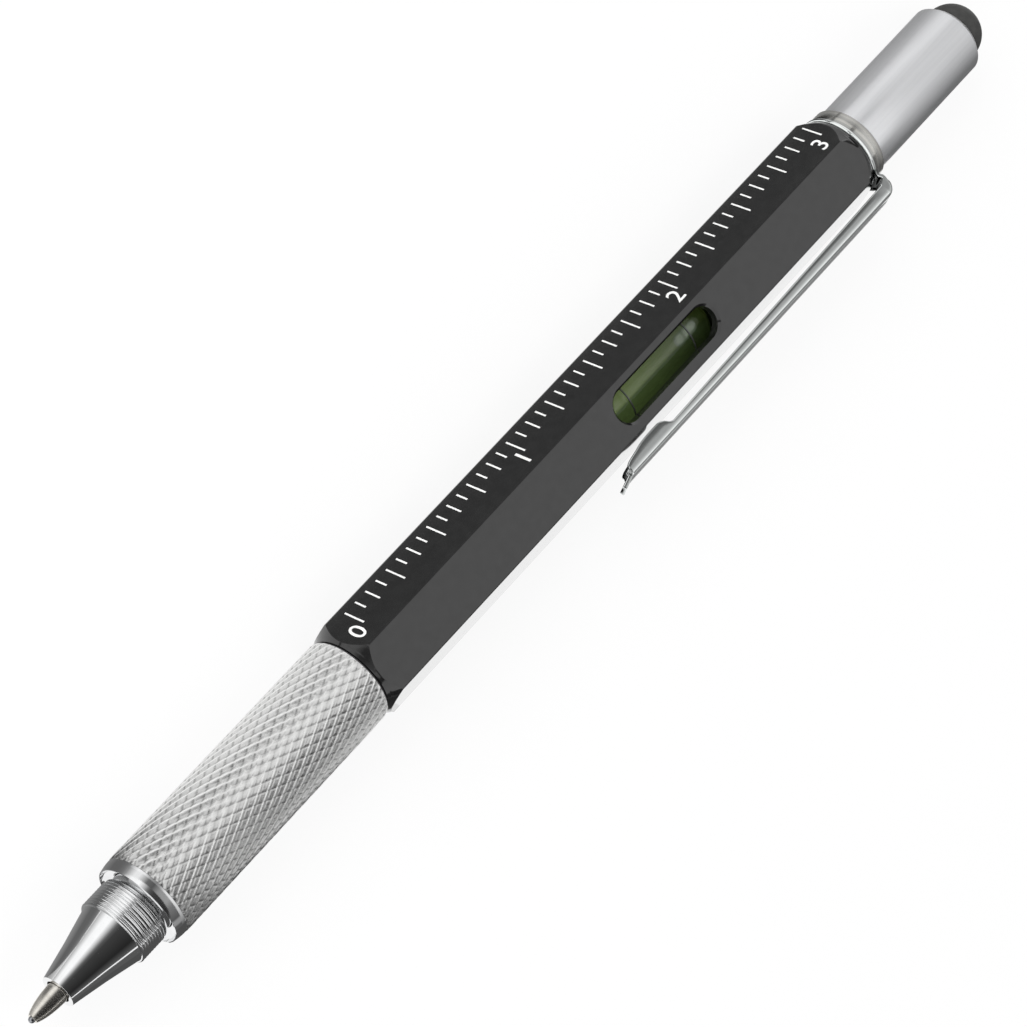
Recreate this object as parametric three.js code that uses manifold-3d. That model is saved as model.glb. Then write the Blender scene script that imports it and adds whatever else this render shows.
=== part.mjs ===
// A twist ballpoint pen that is also a ruler, a spirit level, a screwdriver and a touch-screen stylus.
// Lengths are in millimetres. X runs along the pen, from the writing point (-X) to the stylus (+X),
// Z is up, and the origin lies on the flat that the pen rests on, halfway along the hexagonal barrel.

import * as THREE from 'three';
import { mergeVertices } from 'three/addons/utils/BufferGeometryUtils.js';
import Module from 'manifold-3d';

const wasm = await Module();
wasm.setup();

// Fits that all pieces share
const turnGap = 0.1; // radial gap between two round pieces, one inside the other
const faceGap = 0.05; // gap along the pen between two flat faces
const cutOverrun = 1; // how far a cutter runs past the piece it cuts

// Smoothness
const turnedSides = 32;
const smallSides = 20; // on pieces that are thinner or out of sight
const arcSteps = 6;

// Hexagonal barrel. Its length follows from what it holds.
const barrelAcrossFlats = 9.9;
const barrelBore = 7.8;
const frontRimDiameter = 9.44;
const frontChamferLength = 1.35;
const tailRimDiameter = 9.34;
const tailChamferLength = 1.95;
const tailBore = 6.9;
const tailBoreLength = 14;

// Window and spirit level vial
const windowLength = 16.6;
const windowWidth = 3.88;
const vialFrontRoom = 11.175; // from the refill's rear end to the vial
const vialRearRoom = 10.625; // from the vial to the barrel's tail bore
const vialLength = 20.6;
const vialDiameter = 6.5;
const vialWall = 0.7;
const chamberLength = 13.8;
const markSpacing = 10.3;
const markWidth = 0.25;
const markThickness = 0.1;
const seatLength = 1.1;
const bubbleLength = 3.4;
const bubbleDiameter = 2.2;

// Grip, its liner and the collar in front of it
const washerThickness = 0.2;
const washerDiameter = 9.2;
const gripLength = 29.9;
const gripDiameter = 9.86;
const gripBore = 8.4;
const gripEndChamfer = 0.2;
const linerFrontSetback = 2.8; // from the grip's front end to the liner's
const linerRearSetback = 0.3;
const collarLength = 1.3;
const collarDiameter = 9.74;
const collarLipDiameter = 9.4;
const collarLipWidth = 0.12;
const collarDishDepth = 0.8;
const collarSpigotLength = 2.5;

// Nose cone
const noseNeckDiameter = 6.9;
const noseNeckLength = 0.55; // the part of the neck that shows between the ribbed band and the collar
const bandLength = 3.1;
const bandDiameter = 7.66;
const bandRibs = 8;
const bandRibDepth = 0.14;
const coneLength = 7.6;
const coneBaseDiameter = 7.1;
const coneWaistDiameter = 5.3; // halfway along the cone, a little less than a straight cone has
const mouthDiameter = 3.72;
const mouthBore = 2.6;
const mouthBoreLength = 2.4;
const noseBore = 4.2;
const noseSpigotLength = 5.2;
const threadPitch = 1;
const threadDepth = 0.2;

// Refill
const refillLength = 72;
const refillTubeDiameter = 2.35;
const refillTubeWall = 0.2;
const tipProtrusion = 3.95; // how far the point stands out of the nose cone when it is out
const tipLength = 8.4;
const tipTaperLength = 4.2;
const tipDiameter = 2.3;
const tipLipSetback = 0.45;
const tipChannelDiameter = 0.5;
const tipSpigotLength = 2;
const ballDiameter = 0.7;
const inkLength = 46;
const plugHeadDiameter = 4.9;
const plugHeadLength = 7;
const plugRibs = 20;
const plugRibDepth = 0.22;
const plugThreadDiameter = 3.9;
const plugThreadLength = 4.2;
const plugThreadPitch = 0.84;
const plugEndWall = 1.5;

// Twist mechanism
const twistAngle = Math.PI; // a half turn of the grip
const refillTravel = 5; // how far that half turn draws the refill back
const camWall = 0.5;
const camInset = 0.6; // from the barrel's front end
const guideWall = 0.5;
const guideInsertion = 10; // how far the guide tube reaches into the grip liner
const guideTail = 4; // guide tube past the lug's last place
const retainerLength = 0.6;
const retainerDiameter = 7.5;
const carrierLength = 5.4;
const lugDiameter = 1.2;
const lugGap = 0.15; // gap between the lug and the sides of its slots
const lugSetback = 0.2; // from the lug's end to the cam sleeve's outside
const helixSteps = 24;

// Clip
const clipSheet = 0.45;
const clipRingDiameter = 9.5;
const clipWidth = 3;
const clipRootWidth = 4.2;
const clipArmLength = 46.1; // from the back of the clip's ring to the front of its arm
const clipArmTop = 7.12; // from the pen's axis to the outside of the arm
const clipRootHeight = 1.45; // of the arm's side walls at the bend
const clipFrontHeight = 0.78; // of the arm's side walls behind the wings
const clipEdgeRadius = 0.6;
const clipBendRadius = 1.45;
const clipBulge = 0.5; // how far the bend reaches behind the ring
const clipLegLength = 0.7; // from the arm's side walls down to the leg's end at the ring's tab
const clipLegAngle = Math.PI / 9; // how far the bend turns past square to the arm
const wingLength = 7.6;
const wingHeight = 1.77; // from the outside of the arm to the lowest point of a wing
const tongueLength = 1.45;
const tongueWidth = 1.8;
const tongueRise = 0.4; // of the tongue's end above the outside of the arm

// Tail collar, bit holder and screwdriver bit
const flangeLength = 1.65;
const flangeDiameter = 9.16;
const flangeEdge = 0.15;
const tailSpigotGap = 1; // from the end of the tail bore to the end of the collar's spigot
const sleeveSpigotLength = 4.3;
const holderWall = 0.6;
const holderDiameter = 5.5;
const holderSetback = 0.4; // from the collar's back end to the holder's
const holderFloor = 1.8;
const socketAcrossFlats = 3.7;
const socketDepth = 10.9;
const bitAcrossFlats = 3.5;
const bitLength = 22.6;
const bitHexLength = 11.4;
const bitNeckDiameter = 2.5;
const bitNeckTaper = 0.8;
const bitBladeThickness = 0.6;
const bitBladeLength = 3.2;
const bitPointLength = 1.3;
const bitPointDiameter = 0.7;
const bitFluteWidth = 0.7;
const bitFluteLength = 2.6;
const bitProjection = 0.6; // of the bit's hexagon out of its socket
const gripRingWidth = 0.6;
const gripRingThickness = 0.3;
const gripRingSetback = 3; // from the holder's back end

// Stylus
const sleeveLength = 18.7;
const sleeveDiameter = 8.5;
const sleeveBore = 6.9;
const sleeveEndChamfer = 0.65;
const sleeveMouthDiameter = 7.3;
const domeDiameter = 6.66;
const domeWall = 1.03;
const domeCentreOverhang = 0.45; // of the dome's centre past the end of the sleeve
const domeSkirtLength = 2.2;
const insertFlangeLength = 1.8;

// The barrel is as long as the refill's reach into it, the vial with its room on both sides, and the tail.
const frontSectionLength = washerThickness + gripLength + collarLength + 3 * faceGap;
const noseLength = noseNeckLength + bandLength + coneLength;
const refillReach = refillLength - tipProtrusion - noseLength - frontSectionLength;
const vialBayLength = vialFrontRoom + vialLength + vialRearRoom;
const barrelLength = refillReach + vialBayLength + tailBoreLength;

// Places along the pen, worked outwards from the barrel's two ends
const barrelFront = -barrelLength / 2;
const barrelRear = barrelLength / 2;
const washerFront = barrelFront - faceGap - washerThickness;
const gripRear = washerFront - faceGap;
const gripFront = gripRear - gripLength;
const collarRear = gripFront - faceGap;
const collarFront = collarRear - collarLength;
const bandRear = collarFront - noseNeckLength;
const bandFront = bandRear - bandLength;
const mouth = bandFront - coneLength;
const refillFront = mouth - tipProtrusion;
const refillRear = refillFront + refillLength;
const plugHeadFront = refillRear - plugHeadLength;
const plugFront = plugHeadFront - plugThreadLength;
const carrierRear = plugHeadFront - faceGap;
const carrierFront = carrierRear - carrierLength;
const lugPlace = (carrierFront + carrierRear) / 2;
const guideFront = gripRear - linerRearSetback - guideInsertion;
const guideRear = lugPlace + refillTravel + guideTail;
const camFront = barrelFront + camInset;
const camRear = guideRear - retainerLength - faceGap;
const ringFront = barrelRear + faceGap;
const ringRear = ringFront + clipSheet;
const flangeFront = ringRear + faceGap;
const flangeRear = flangeFront + flangeLength;
const sleeveFront = flangeRear + faceGap;
const sleeveRear = sleeveFront + sleeveLength;
const domeCentre = sleeveRear + domeCentreOverhang;
const domeSkirtFront = domeCentre - domeSkirtLength;
const vialCentre = refillRear + vialFrontRoom + vialLength / 2;

// Radii that follow from the fits
const axisHeight = barrelAcrossFlats / 2;
const barrelBoreRadius = barrelBore / 2;
const camRadius = barrelBoreRadius - turnGap;
const camBoreRadius = camRadius - camWall;
const guideRadius = camBoreRadius - turnGap;
const guideBoreRadius = guideRadius - guideWall;
const carrierRadius = guideBoreRadius - turnGap;
const linerRadius = gripBore / 2 - turnGap;
const linerBoreRadius = guideRadius + turnGap;
const refillTubeRadius = refillTubeDiameter / 2;
const refillBoreRadius = refillTubeRadius - refillTubeWall;
const vialRadius = vialDiameter / 2;
const vialBoreRadius = vialRadius - vialWall;
const chamberRadius = vialBoreRadius - turnGap;
const tailSpigotRadius = tailBore / 2 - turnGap;
const holderRadius = holderDiameter / 2;
const sleeveBoreRadius = sleeveBore / 2;
const lugReach = camRadius - lugSetback;

// Geometry helpers

// A closed mesh with merged points and faces that point out, as a solid for cutting and joining.
function solid(geometry) {
  const bare = geometry.clone();
  bare.deleteAttribute('normal');
  bare.deleteAttribute('uv');
  const merged = mergeVertices(bare);
  const points = merged.attributes.position.array;
  const corners = [];
  let volume = 0;
  const a = new THREE.Vector3();
  const b = new THREE.Vector3();
  const c = new THREE.Vector3();
  for (let i = 0; i < merged.index.count; i += 3) {
    const [p, q, r] = [0, 1, 2].map((k) => merged.index.getX(i + k));
    if (p === q || q === r || r === p) continue;
    a.fromArray(points, 3 * p);
    b.fromArray(points, 3 * q);
    c.fromArray(points, 3 * r);
    volume += a.dot(b.cross(c));
    corners.push([p, q, r]);
  }
  const outward = volume > 0 ? corners : corners.map(([p, q, r]) => [p, r, q]);
  const mesh = new wasm.Mesh({
    numProp: 3,
    vertProperties: new Float32Array(points),
    triVerts: new Uint32Array(outward.flat()),
  });
  return new wasm.Manifold(mesh);
}

// A solid back as a named three.js mesh.
function piece(name, body, material) {
  const cut = body.getMesh();
  const geometry = new THREE.BufferGeometry();
  geometry.setAttribute('position', new THREE.BufferAttribute(new Float32Array(cut.vertProperties), 3));
  geometry.setIndex(new THREE.BufferAttribute(new Uint32Array(cut.triVerts), 1));
  geometry.computeVertexNormals();
  const mesh = new THREE.Mesh(geometry, material);
  mesh.name = name;
  return mesh;
}

// A turned solid from a profile of [place along the pen, radius] points.
function turned(profile, sides = turnedSides) {
  const points = profile.map(([x, r]) => new THREE.Vector2(r, x));
  const onAxis = profile[0][1] === 0;
  if (!onAxis) points.push(points[0].clone());
  const geometry = new THREE.LatheGeometry(points, sides);
  geometry.rotateZ(-Math.PI / 2);
  return solid(geometry);
}

// A plain rod or tube between two places along the pen.
function rod(from, to, radius, sides) {
  return turned([[from, 0], [from, radius], [to, radius], [to, 0]], sides);
}

function tube(from, to, radius, boreRadius, sides) {
  return turned([[from, boreRadius], [from, radius], [to, radius], [to, boreRadius]], sides);
}

// Points on an arc in a profile. The angle runs from +X towards a growing radius.
function arc(x, r, radius, from, to, steps = arcSteps) {
  const points = [];
  for (let i = 0; i <= steps; i += 1) {
    const angle = from + ((to - from) * i) / steps;
    points.push([x + radius * Math.cos(angle), r + radius * Math.sin(angle)]);
  }
  return points;
}

// Crests and roots of a screw thread as turned rings.
function threadProfile(from, to, radius, pitch, depth) {
  const turns = Math.max(1, Math.round((to - from) / pitch));
  const step = (to - from) / turns;
  const points = [[from, radius - depth]];
  for (let i = 0; i < turns; i += 1) {
    points.push([from + (i + 0.5) * step, radius]);
    points.push([from + (i + 1) * step, radius - depth]);
  }
  return points;
}

// A prism along the pen from a section of [y, z] points.
function prismAlongPen(section, from, to) {
  const shape = new THREE.Shape(section.map(([y, z]) => new THREE.Vector2(y, z)));
  const geometry = new THREE.ExtrudeGeometry(shape, { depth: to - from, bevelEnabled: false });
  const axes = new THREE.Matrix4().makeBasis(
    new THREE.Vector3(0, 1, 0),
    new THREE.Vector3(0, 0, 1),
    new THREE.Vector3(1, 0, 0),
  );
  geometry.applyMatrix4(axes);
  geometry.translate(from, 0, 0);
  return solid(geometry);
}

// A prism across the pen, along Z, from an outline of [x, y] points.
function prismAcross(outline, from, to) {
  const shape = new THREE.Shape(outline.map(([x, y]) => new THREE.Vector2(x, y)));
  const geometry = new THREE.ExtrudeGeometry(shape, { depth: to - from, bevelEnabled: false });
  geometry.translate(0, 0, from);
  return solid(geometry);
}

function box(low, high) {
  const geometry = new THREE.BoxGeometry(high[0] - low[0], high[1] - low[1], high[2] - low[2]);
  geometry.translate((low[0] + high[0]) / 2, (low[1] + high[1]) / 2, (low[2] + high[2]) / 2);
  return solid(geometry);
}

// A hexagon with flats at the top and bottom.
function hexagon(acrossFlats) {
  const corner = acrossFlats / Math.sqrt(3);
  return [0, 1, 2, 3, 4, 5].map((i) => {
    const angle = (i * Math.PI) / 3;
    return [corner * Math.cos(angle), corner * Math.sin(angle)];
  });
}

// A bar that winds round the pen's axis while it moves along it, with a square section.
function helicalBar(start, end, startAngle, endAngle, inner, outer, width, steps) {
  const points = [];
  const faces = [];
  for (let i = 0; i <= steps; i += 1) {
    const x = start + ((end - start) * i) / steps;
    const angle = startAngle + ((endAngle - startAngle) * i) / steps;
    const before = x - width / 2;
    const after = x + width / 2;
    const ring = [[before, inner], [after, inner], [after, outer], [before, outer]];
    ring.forEach(([px, r]) => points.push(px, r * Math.cos(angle), r * Math.sin(angle)));
  }
  for (let i = 0; i < steps; i += 1) {
    for (let k = 0; k < 4; k += 1) {
      const a = 4 * i + k;
      const b = 4 * i + ((k + 1) % 4);
      faces.push(a, b, b + 4, a, b + 4, a + 4);
    }
  }
  const last = 4 * steps;
  faces.push(0, 2, 1, 0, 3, 2, last, last + 1, last + 2, last, last + 2, last + 3);
  const geometry = new THREE.BufferGeometry();
  geometry.setAttribute('position', new THREE.BufferAttribute(new Float32Array(points), 3));
  geometry.setIndex(faces);
  return solid(geometry);
}

// Materials
const blackLacquer = new THREE.MeshStandardMaterial({ color: 0x26282b, roughness: 0.15, metalness: 0.3 });
const chrome = new THREE.MeshStandardMaterial({ color: 0xc9ccd0, roughness: 0.08, metalness: 1 });
const springSteel = new THREE.MeshStandardMaterial({ color: 0xd3d6d8, roughness: 0.12, metalness: 1 });
const knurledAluminium = new THREE.MeshStandardMaterial({ color: 0xbfc1c2, roughness: 0.35, metalness: 1 });
const satinAluminium = new THREE.MeshStandardMaterial({ color: 0xcdced2, roughness: 0.4, metalness: 1 });
const brass = new THREE.MeshStandardMaterial({ color: 0xb9924e, roughness: 0.3, metalness: 1 });
const nickelSilver = new THREE.MeshStandardMaterial({ color: 0xb5ac9d, roughness: 0.2, metalness: 1 });
const toolSteel = new THREE.MeshStandardMaterial({ color: 0x8d9094, roughness: 0.3, metalness: 1 });
const blackPlastic = new THREE.MeshStandardMaterial({ color: 0x2b2b2c, roughness: 0.5, metalness: 0 });
const whitePlastic = new THREE.MeshStandardMaterial({ color: 0xd9d8d2, roughness: 0.5, metalness: 0 });
const blackRubber = new THREE.MeshStandardMaterial({ color: 0x2e2f2e, roughness: 0.8, metalness: 0 });
const inkMaterial = new THREE.MeshStandardMaterial({ color: 0x101218, roughness: 0.4, metalness: 0 });
const clearAcrylic = new THREE.MeshStandardMaterial({
  color: 0xdfe8d8,
  roughness: 0.05,
  metalness: 0,
  transparent: true,
  opacity: 0.35,
});
const greenLiquid = new THREE.MeshStandardMaterial({
  color: 0x6c8a3c,
  roughness: 0.05,
  metalness: 0,
  transparent: true,
  opacity: 0.6,
});

// Barrel

// The hexagon is turned down to a round rim at both ends, and the bore narrows for the tail's thread.
function makeBarrel() {
  const cornerRadius = barrelAcrossFlats / Math.sqrt(3) + cutOverrun;
  const frontRim = frontRimDiameter / 2;
  const tailRim = tailRimDiameter / 2;
  const corner = barrelAcrossFlats / Math.sqrt(3);
  const frontSlope = (corner - frontRim) / frontChamferLength;
  const tailSlope = (corner - tailRim) / tailChamferLength;
  const envelope = turned([
    [barrelFront, 0],
    [barrelFront, frontRim],
    [barrelFront + (cornerRadius - frontRim) / frontSlope, cornerRadius],
    [barrelRear - (cornerRadius - tailRim) / tailSlope, cornerRadius],
    [barrelRear, tailRim],
    [barrelRear, 0],
  ]);
  const tailBoreFront = barrelRear - tailBoreLength;
  const bore = turned([
    [barrelFront - cutOverrun, 0],
    [barrelFront - cutOverrun, barrelBoreRadius],
    [tailBoreFront, barrelBoreRadius],
    [tailBoreFront, tailBore / 2],
    [barrelRear + cutOverrun, tailBore / 2],
    [barrelRear + cutOverrun, 0],
  ]);
  const endRadius = windowWidth / 2;
  const endOffset = windowLength / 2 - endRadius;
  const slot = prismAcross([
    ...arc(vialCentre + endOffset, 0, endRadius, -Math.PI / 2, Math.PI / 2),
    ...arc(vialCentre - endOffset, 0, endRadius, Math.PI / 2, (3 * Math.PI) / 2),
  ], 0, axisHeight + cutOverrun);
  const hexagonalRod = prismAlongPen(hexagon(barrelAcrossFlats), barrelFront, barrelRear);
  return piece('hex_barrel', hexagonalRod.intersect(envelope).subtract(bore).subtract(slot), blackLacquer);
}

// Spirit level

function makeVial() {
  const front = vialCentre - vialLength / 2;
  const rear = vialCentre + vialLength / 2;
  const chamberFront = vialCentre - chamberLength / 2;
  const chamberRear = vialCentre + chamberLength / 2;
  const bubbleHeight = chamberRadius - bubbleDiameter / 2;
  const channelRadius = bubbleDiameter / 2 + turnGap;
  const channel = rod(chamberFront - cutOverrun, chamberRear + cutOverrun, channelRadius, smallSides)
    .translate([0, 0, bubbleHeight]);
  const liquid = rod(chamberFront, chamberRear, chamberRadius).subtract(channel);
  const markBore = vialRadius + turnGap;
  const seatBore = vialRadius + turnGap;
  const seatRadius = barrelBoreRadius - turnGap;
  const marks = [['vial_mark_front', -1], ['vial_mark_rear', 1]].map(([name, side]) => {
    const place = vialCentre + (side * markSpacing) / 2;
    const ring = tube(place - markWidth / 2, place + markWidth / 2, markBore + markThickness, markBore);
    return piece(name, ring, blackPlastic);
  });
  return [
    piece('vial_tube', tube(front, rear, vialRadius, vialBoreRadius), clearAcrylic),
    piece('vial_fluid', liquid, greenLiquid),
    piece('vial_plug_front', rod(front, chamberFront - faceGap, chamberRadius, smallSides), blackPlastic),
    piece('vial_plug_rear', rod(chamberRear + faceGap, rear, chamberRadius, smallSides), blackPlastic),
    piece('vial_seat_front', tube(front, front + seatLength, seatRadius, seatBore), blackRubber),
    piece('vial_seat_rear', tube(rear - seatLength, rear, seatRadius, seatBore), blackRubber),
    ...marks,
  ];
}

// The bubble floats at the top of the chamber and stands at its stylus end.
function makeBubble() {
  const radius = bubbleDiameter / 2;
  const rear = vialCentre + chamberLength / 2 - turnGap;
  const rearCentre = rear - radius;
  const frontCentre = rear - bubbleLength + radius;
  const capsule = turned([
    ...arc(frontCentre, 0, radius, Math.PI, Math.PI / 2),
    ...arc(rearCentre, 0, radius, Math.PI / 2, 0),
  ].map(([x, r], i, all) => [x, i === 0 || i === all.length - 1 ? 0 : r]), smallSides);
  return piece('vial_bubble', capsule.translate([0, 0, chamberRadius - radius]), clearAcrylic);
}

// Grip

function makeGrip() {
  const radius = gripDiameter / 2;
  const bore = gripBore / 2;
  const sleeve = turned([
    [gripFront, bore],
    [gripFront, radius - gripEndChamfer],
    [gripFront + gripEndChamfer, radius],
    [gripRear - gripEndChamfer, radius],
    [gripRear, radius - gripEndChamfer],
    [gripRear, bore],
  ]);
  const linerFront = gripFront + linerFrontSetback;
  const linerRear = gripRear - linerRearSetback;
  const liner = tube(linerFront, linerRear, linerRadius, linerBoreRadius);
  const washer = tube(washerFront, washerFront + washerThickness, washerDiameter / 2, linerBoreRadius);
  return [
    piece('grip_sleeve', sleeve, knurledAluminium),
    piece('grip_liner', liner, brass),
    piece('friction_washer', washer, blackPlastic),
  ];
}

// The collar's front is dished behind a flared lip, and its spigot sits in the grip's bore.
function makeGripCollar() {
  const bore = noseNeckDiameter / 2 + turnGap;
  const radius = collarDiameter / 2;
  const lip = collarLipDiameter / 2;
  const collar = turned([
    [collarFront + collarDishDepth, bore],
    [collarFront, lip - collarLipWidth],
    [collarFront, lip],
    ...arc(collarFront + collarLength / 2, lip, radius - lip, Math.PI, Math.PI / 2).slice(1),
    [collarRear, radius],
    [collarRear, linerRadius],
    [collarRear + collarSpigotLength, linerRadius],
    [collarRear + collarSpigotLength, bore],
  ]);
  return piece('grip_collar', collar, chrome);
}

// Nose cone

function makeNose() {
  const bandRadius = bandDiameter / 2;
  const ribStep = bandLength / bandRibs;
  const ribs = [];
  for (let i = 0; i < bandRibs; i += 1) {
    ribs.push([bandFront + i * ribStep, bandRadius - bandRibDepth]);
    ribs.push([bandFront + (i + 0.5) * ribStep, bandRadius]);
  }
  ribs.push([bandRear, bandRadius - bandRibDepth]);
  const spigotFront = collarFront + collarDishDepth;
  const threadFront = collarRear + collarSpigotLength;
  const threadRear = gripFront + linerFrontSetback + noseSpigotLength;
  const threadRadius = linerBoreRadius - turnGap;
  const boreFront = mouth + mouthBoreLength;
  const boreStep = (noseBore - mouthBore) / 2;
  const nose = turned([
    [mouth, mouthBore / 2],
    [mouth, mouthDiameter / 2],
    [(mouth + bandFront) / 2, coneWaistDiameter / 2],
    [bandFront, coneBaseDiameter / 2],
    ...ribs,
    [bandRear, noseNeckDiameter / 2],
    [spigotFront + collarLength, noseNeckDiameter / 2],
    [spigotFront + collarLength, threadRadius - threadDepth],
    ...threadProfile(threadFront, threadRear, threadRadius, threadPitch, threadDepth),
    [threadRear, noseBore / 2],
    [boreFront + boreStep, noseBore / 2],
    [boreFront, mouthBore / 2],
  ]);
  return piece('nose_cone', nose, chrome);
}

// Twist mechanism

// The lug runs in the guide's straight slot and in the cam sleeve's helical slot, both on the underside
// when the point is out.
const lugAngle = -Math.PI / 2;

function makeCam() {
  const slopeLength = Math.hypot(refillTravel, twistAngle * camRadius);
  const slotWidth = ((lugDiameter + 2 * lugGap) * slopeLength) / (twistAngle * camRadius);
  const spareAngle = (lugDiameter / 2 + 2 * lugGap) / camBoreRadius;
  const spareTravel = (refillTravel * spareAngle) / twistAngle;
  const slot = helicalBar(
    lugPlace - spareTravel,
    lugPlace + refillTravel + spareTravel,
    lugAngle - spareAngle,
    lugAngle + twistAngle + spareAngle,
    camBoreRadius - camWall,
    camRadius + camWall,
    slotWidth,
    helixSteps,
  );
  return piece('cam_sleeve', tube(camFront, camRear, camRadius, camBoreRadius).subtract(slot), brass);
}

function makeGuide() {
  const halfWidth = lugDiameter / 2 + lugGap;
  const slot = box(
    [lugPlace - halfWidth, -halfWidth, -guideRadius - cutOverrun],
    [lugPlace + refillTravel + halfWidth, halfWidth, 0],
  );
  const guide = tube(guideFront, guideRear, guideRadius, guideBoreRadius).subtract(slot);
  const retainer = tube(guideRear - retainerLength, guideRear, retainerDiameter / 2, guideRadius + turnGap);
  return [
    piece('guide_tube', guide, whitePlastic),
    piece('guide_retainer', retainer, toolSteel),
  ];
}

function makeCarrier() {
  const threadBore = plugThreadDiameter / 2 + turnGap;
  const ring = tube(carrierFront, carrierRear, carrierRadius, threadBore, smallSides);
  const wallMiddle = (carrierRadius + threadBore) / 2;
  const lugRadius = lugDiameter / 2;
  const lug = new THREE.CylinderGeometry(lugRadius, lugRadius, lugReach - wallMiddle, smallSides);
  lug.rotateX(Math.PI / 2);
  lug.translate(lugPlace, 0, -(lugReach + wallMiddle) / 2);
  return piece('refill_carrier', ring.add(solid(lug)), whitePlastic);
}

// Refill

// The point swells along a quarter of an ellipse from its lip to its full width.
function makeRefillTip() {
  const taper = [];
  const startShare = tipLipSetback / tipTaperLength;
  for (let i = 0; i <= arcSteps; i += 1) {
    const share = startShare + ((1 - startShare) * i) / arcSteps;
    const radius = (tipDiameter / 2) * Math.sqrt(1 - (1 - share) ** 2);
    taper.push([refillFront + share * tipTaperLength, radius]);
  }
  const seatRadius = ballDiameter / 2 + faceGap;
  const seatDepth = ballDiameter + faceGap;
  const joint = refillFront + tipLength;
  const spigotRadius = refillBoreRadius - turnGap;
  const tip = turned([
    [refillFront + tipLipSetback, seatRadius],
    ...taper,
    [joint, tipDiameter / 2],
    [joint, spigotRadius],
    [joint + tipSpigotLength, spigotRadius],
    [joint + tipSpigotLength, tipChannelDiameter / 2],
    [refillFront + seatDepth, tipChannelDiameter / 2],
    [refillFront + seatDepth, seatRadius],
  ], smallSides);
  return piece('refill_tip', tip, nickelSilver);
}

function makeBall() {
  const radius = ballDiameter / 2;
  const ball = new THREE.SphereGeometry(radius, 2 * arcSteps, arcSteps);
  ball.translate(refillFront + radius, 0, 0);
  return piece('refill_ball', solid(ball), toolSteel);
}

function makeRefillPlug() {
  const ribs = [];
  for (let i = 0; i < 2 * plugRibs; i += 1) {
    const angle = (i * Math.PI) / plugRibs;
    const radius = plugHeadDiameter / 2 - (i % 2) * plugRibDepth;
    ribs.push([radius * Math.cos(angle), radius * Math.sin(angle)]);
  }
  const head = prismAlongPen(ribs, plugHeadFront, refillRear);
  const threadRadius = plugThreadDiameter / 2;
  const stem = turned([
    [plugFront, 0],
    ...threadProfile(plugFront, plugHeadFront, threadRadius, plugThreadPitch, threadDepth),
    [plugHeadFront + plugEndWall, threadRadius],
    [plugHeadFront + plugEndWall, 0],
  ], smallSides);
  const bore = rod(plugFront - cutOverrun, refillRear - plugEndWall, refillTubeRadius + turnGap, smallSides);
  return piece('refill_plug', head.add(stem).subtract(bore), blackPlastic);
}

function makeRefillTube() {
  const front = refillFront + tipLength + faceGap;
  const rear = refillRear - plugEndWall - faceGap;
  const inkFront = refillFront + tipLength + tipSpigotLength + faceGap;
  const ink = rod(inkFront, inkFront + inkLength, refillBoreRadius - turnGap, smallSides);
  return [
    piece('refill_tube', tube(front, rear, refillTubeRadius, refillBoreRadius, smallSides), satinAluminium),
    piece('ink_column', ink, inkMaterial),
  ];
}

// Clip
// The clip is drawn in a frame turned about the pen's axis, with Y square to the face that the arm lies
// over and Z across the arm. Its ring is clamped between the barrel and the tail collar.

const clipTurn = (5 * Math.PI) / 6;
const clipArmBottom = clipArmTop - clipRootHeight;
const clipLegEnd = clipArmBottom - clipLegLength;
const clipTabTop = clipLegEnd - turnGap;
const clipArmFront = ringRear - clipArmLength;

function makeClipRing() {
  const ring = tube(ringFront, ringRear, clipRingDiameter / 2, tailSpigotRadius + turnGap);
  const tabRoot = (tailSpigotRadius + turnGap + clipRingDiameter / 2) / 2;
  const tab = prismAlongPen([
    [tabRoot, -clipRootWidth / 2],
    [clipTabTop, -clipWidth / 2],
    [clipTabTop, clipWidth / 2],
    [tabRoot, clipRootWidth / 2],
  ], ringFront, ringRear);
  return piece('clip_ring', ring.add(tab), springSteel);
}

// A wing's lower edge, from its front end to its rear end: shares of its length, and of its depth below the
// arm's side wall.
const wingEdgeShares = [
  [0, 0.05],
  [0.04, 0.28],
  [0.1, 0.47],
  [0.27, 0.7],
  [0.46, 0.94],
  [0.63, 1],
  [0.8, 1],
  [0.9, 0.7],
  [0.955, 0.2],
  [1, 0],
];

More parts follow.
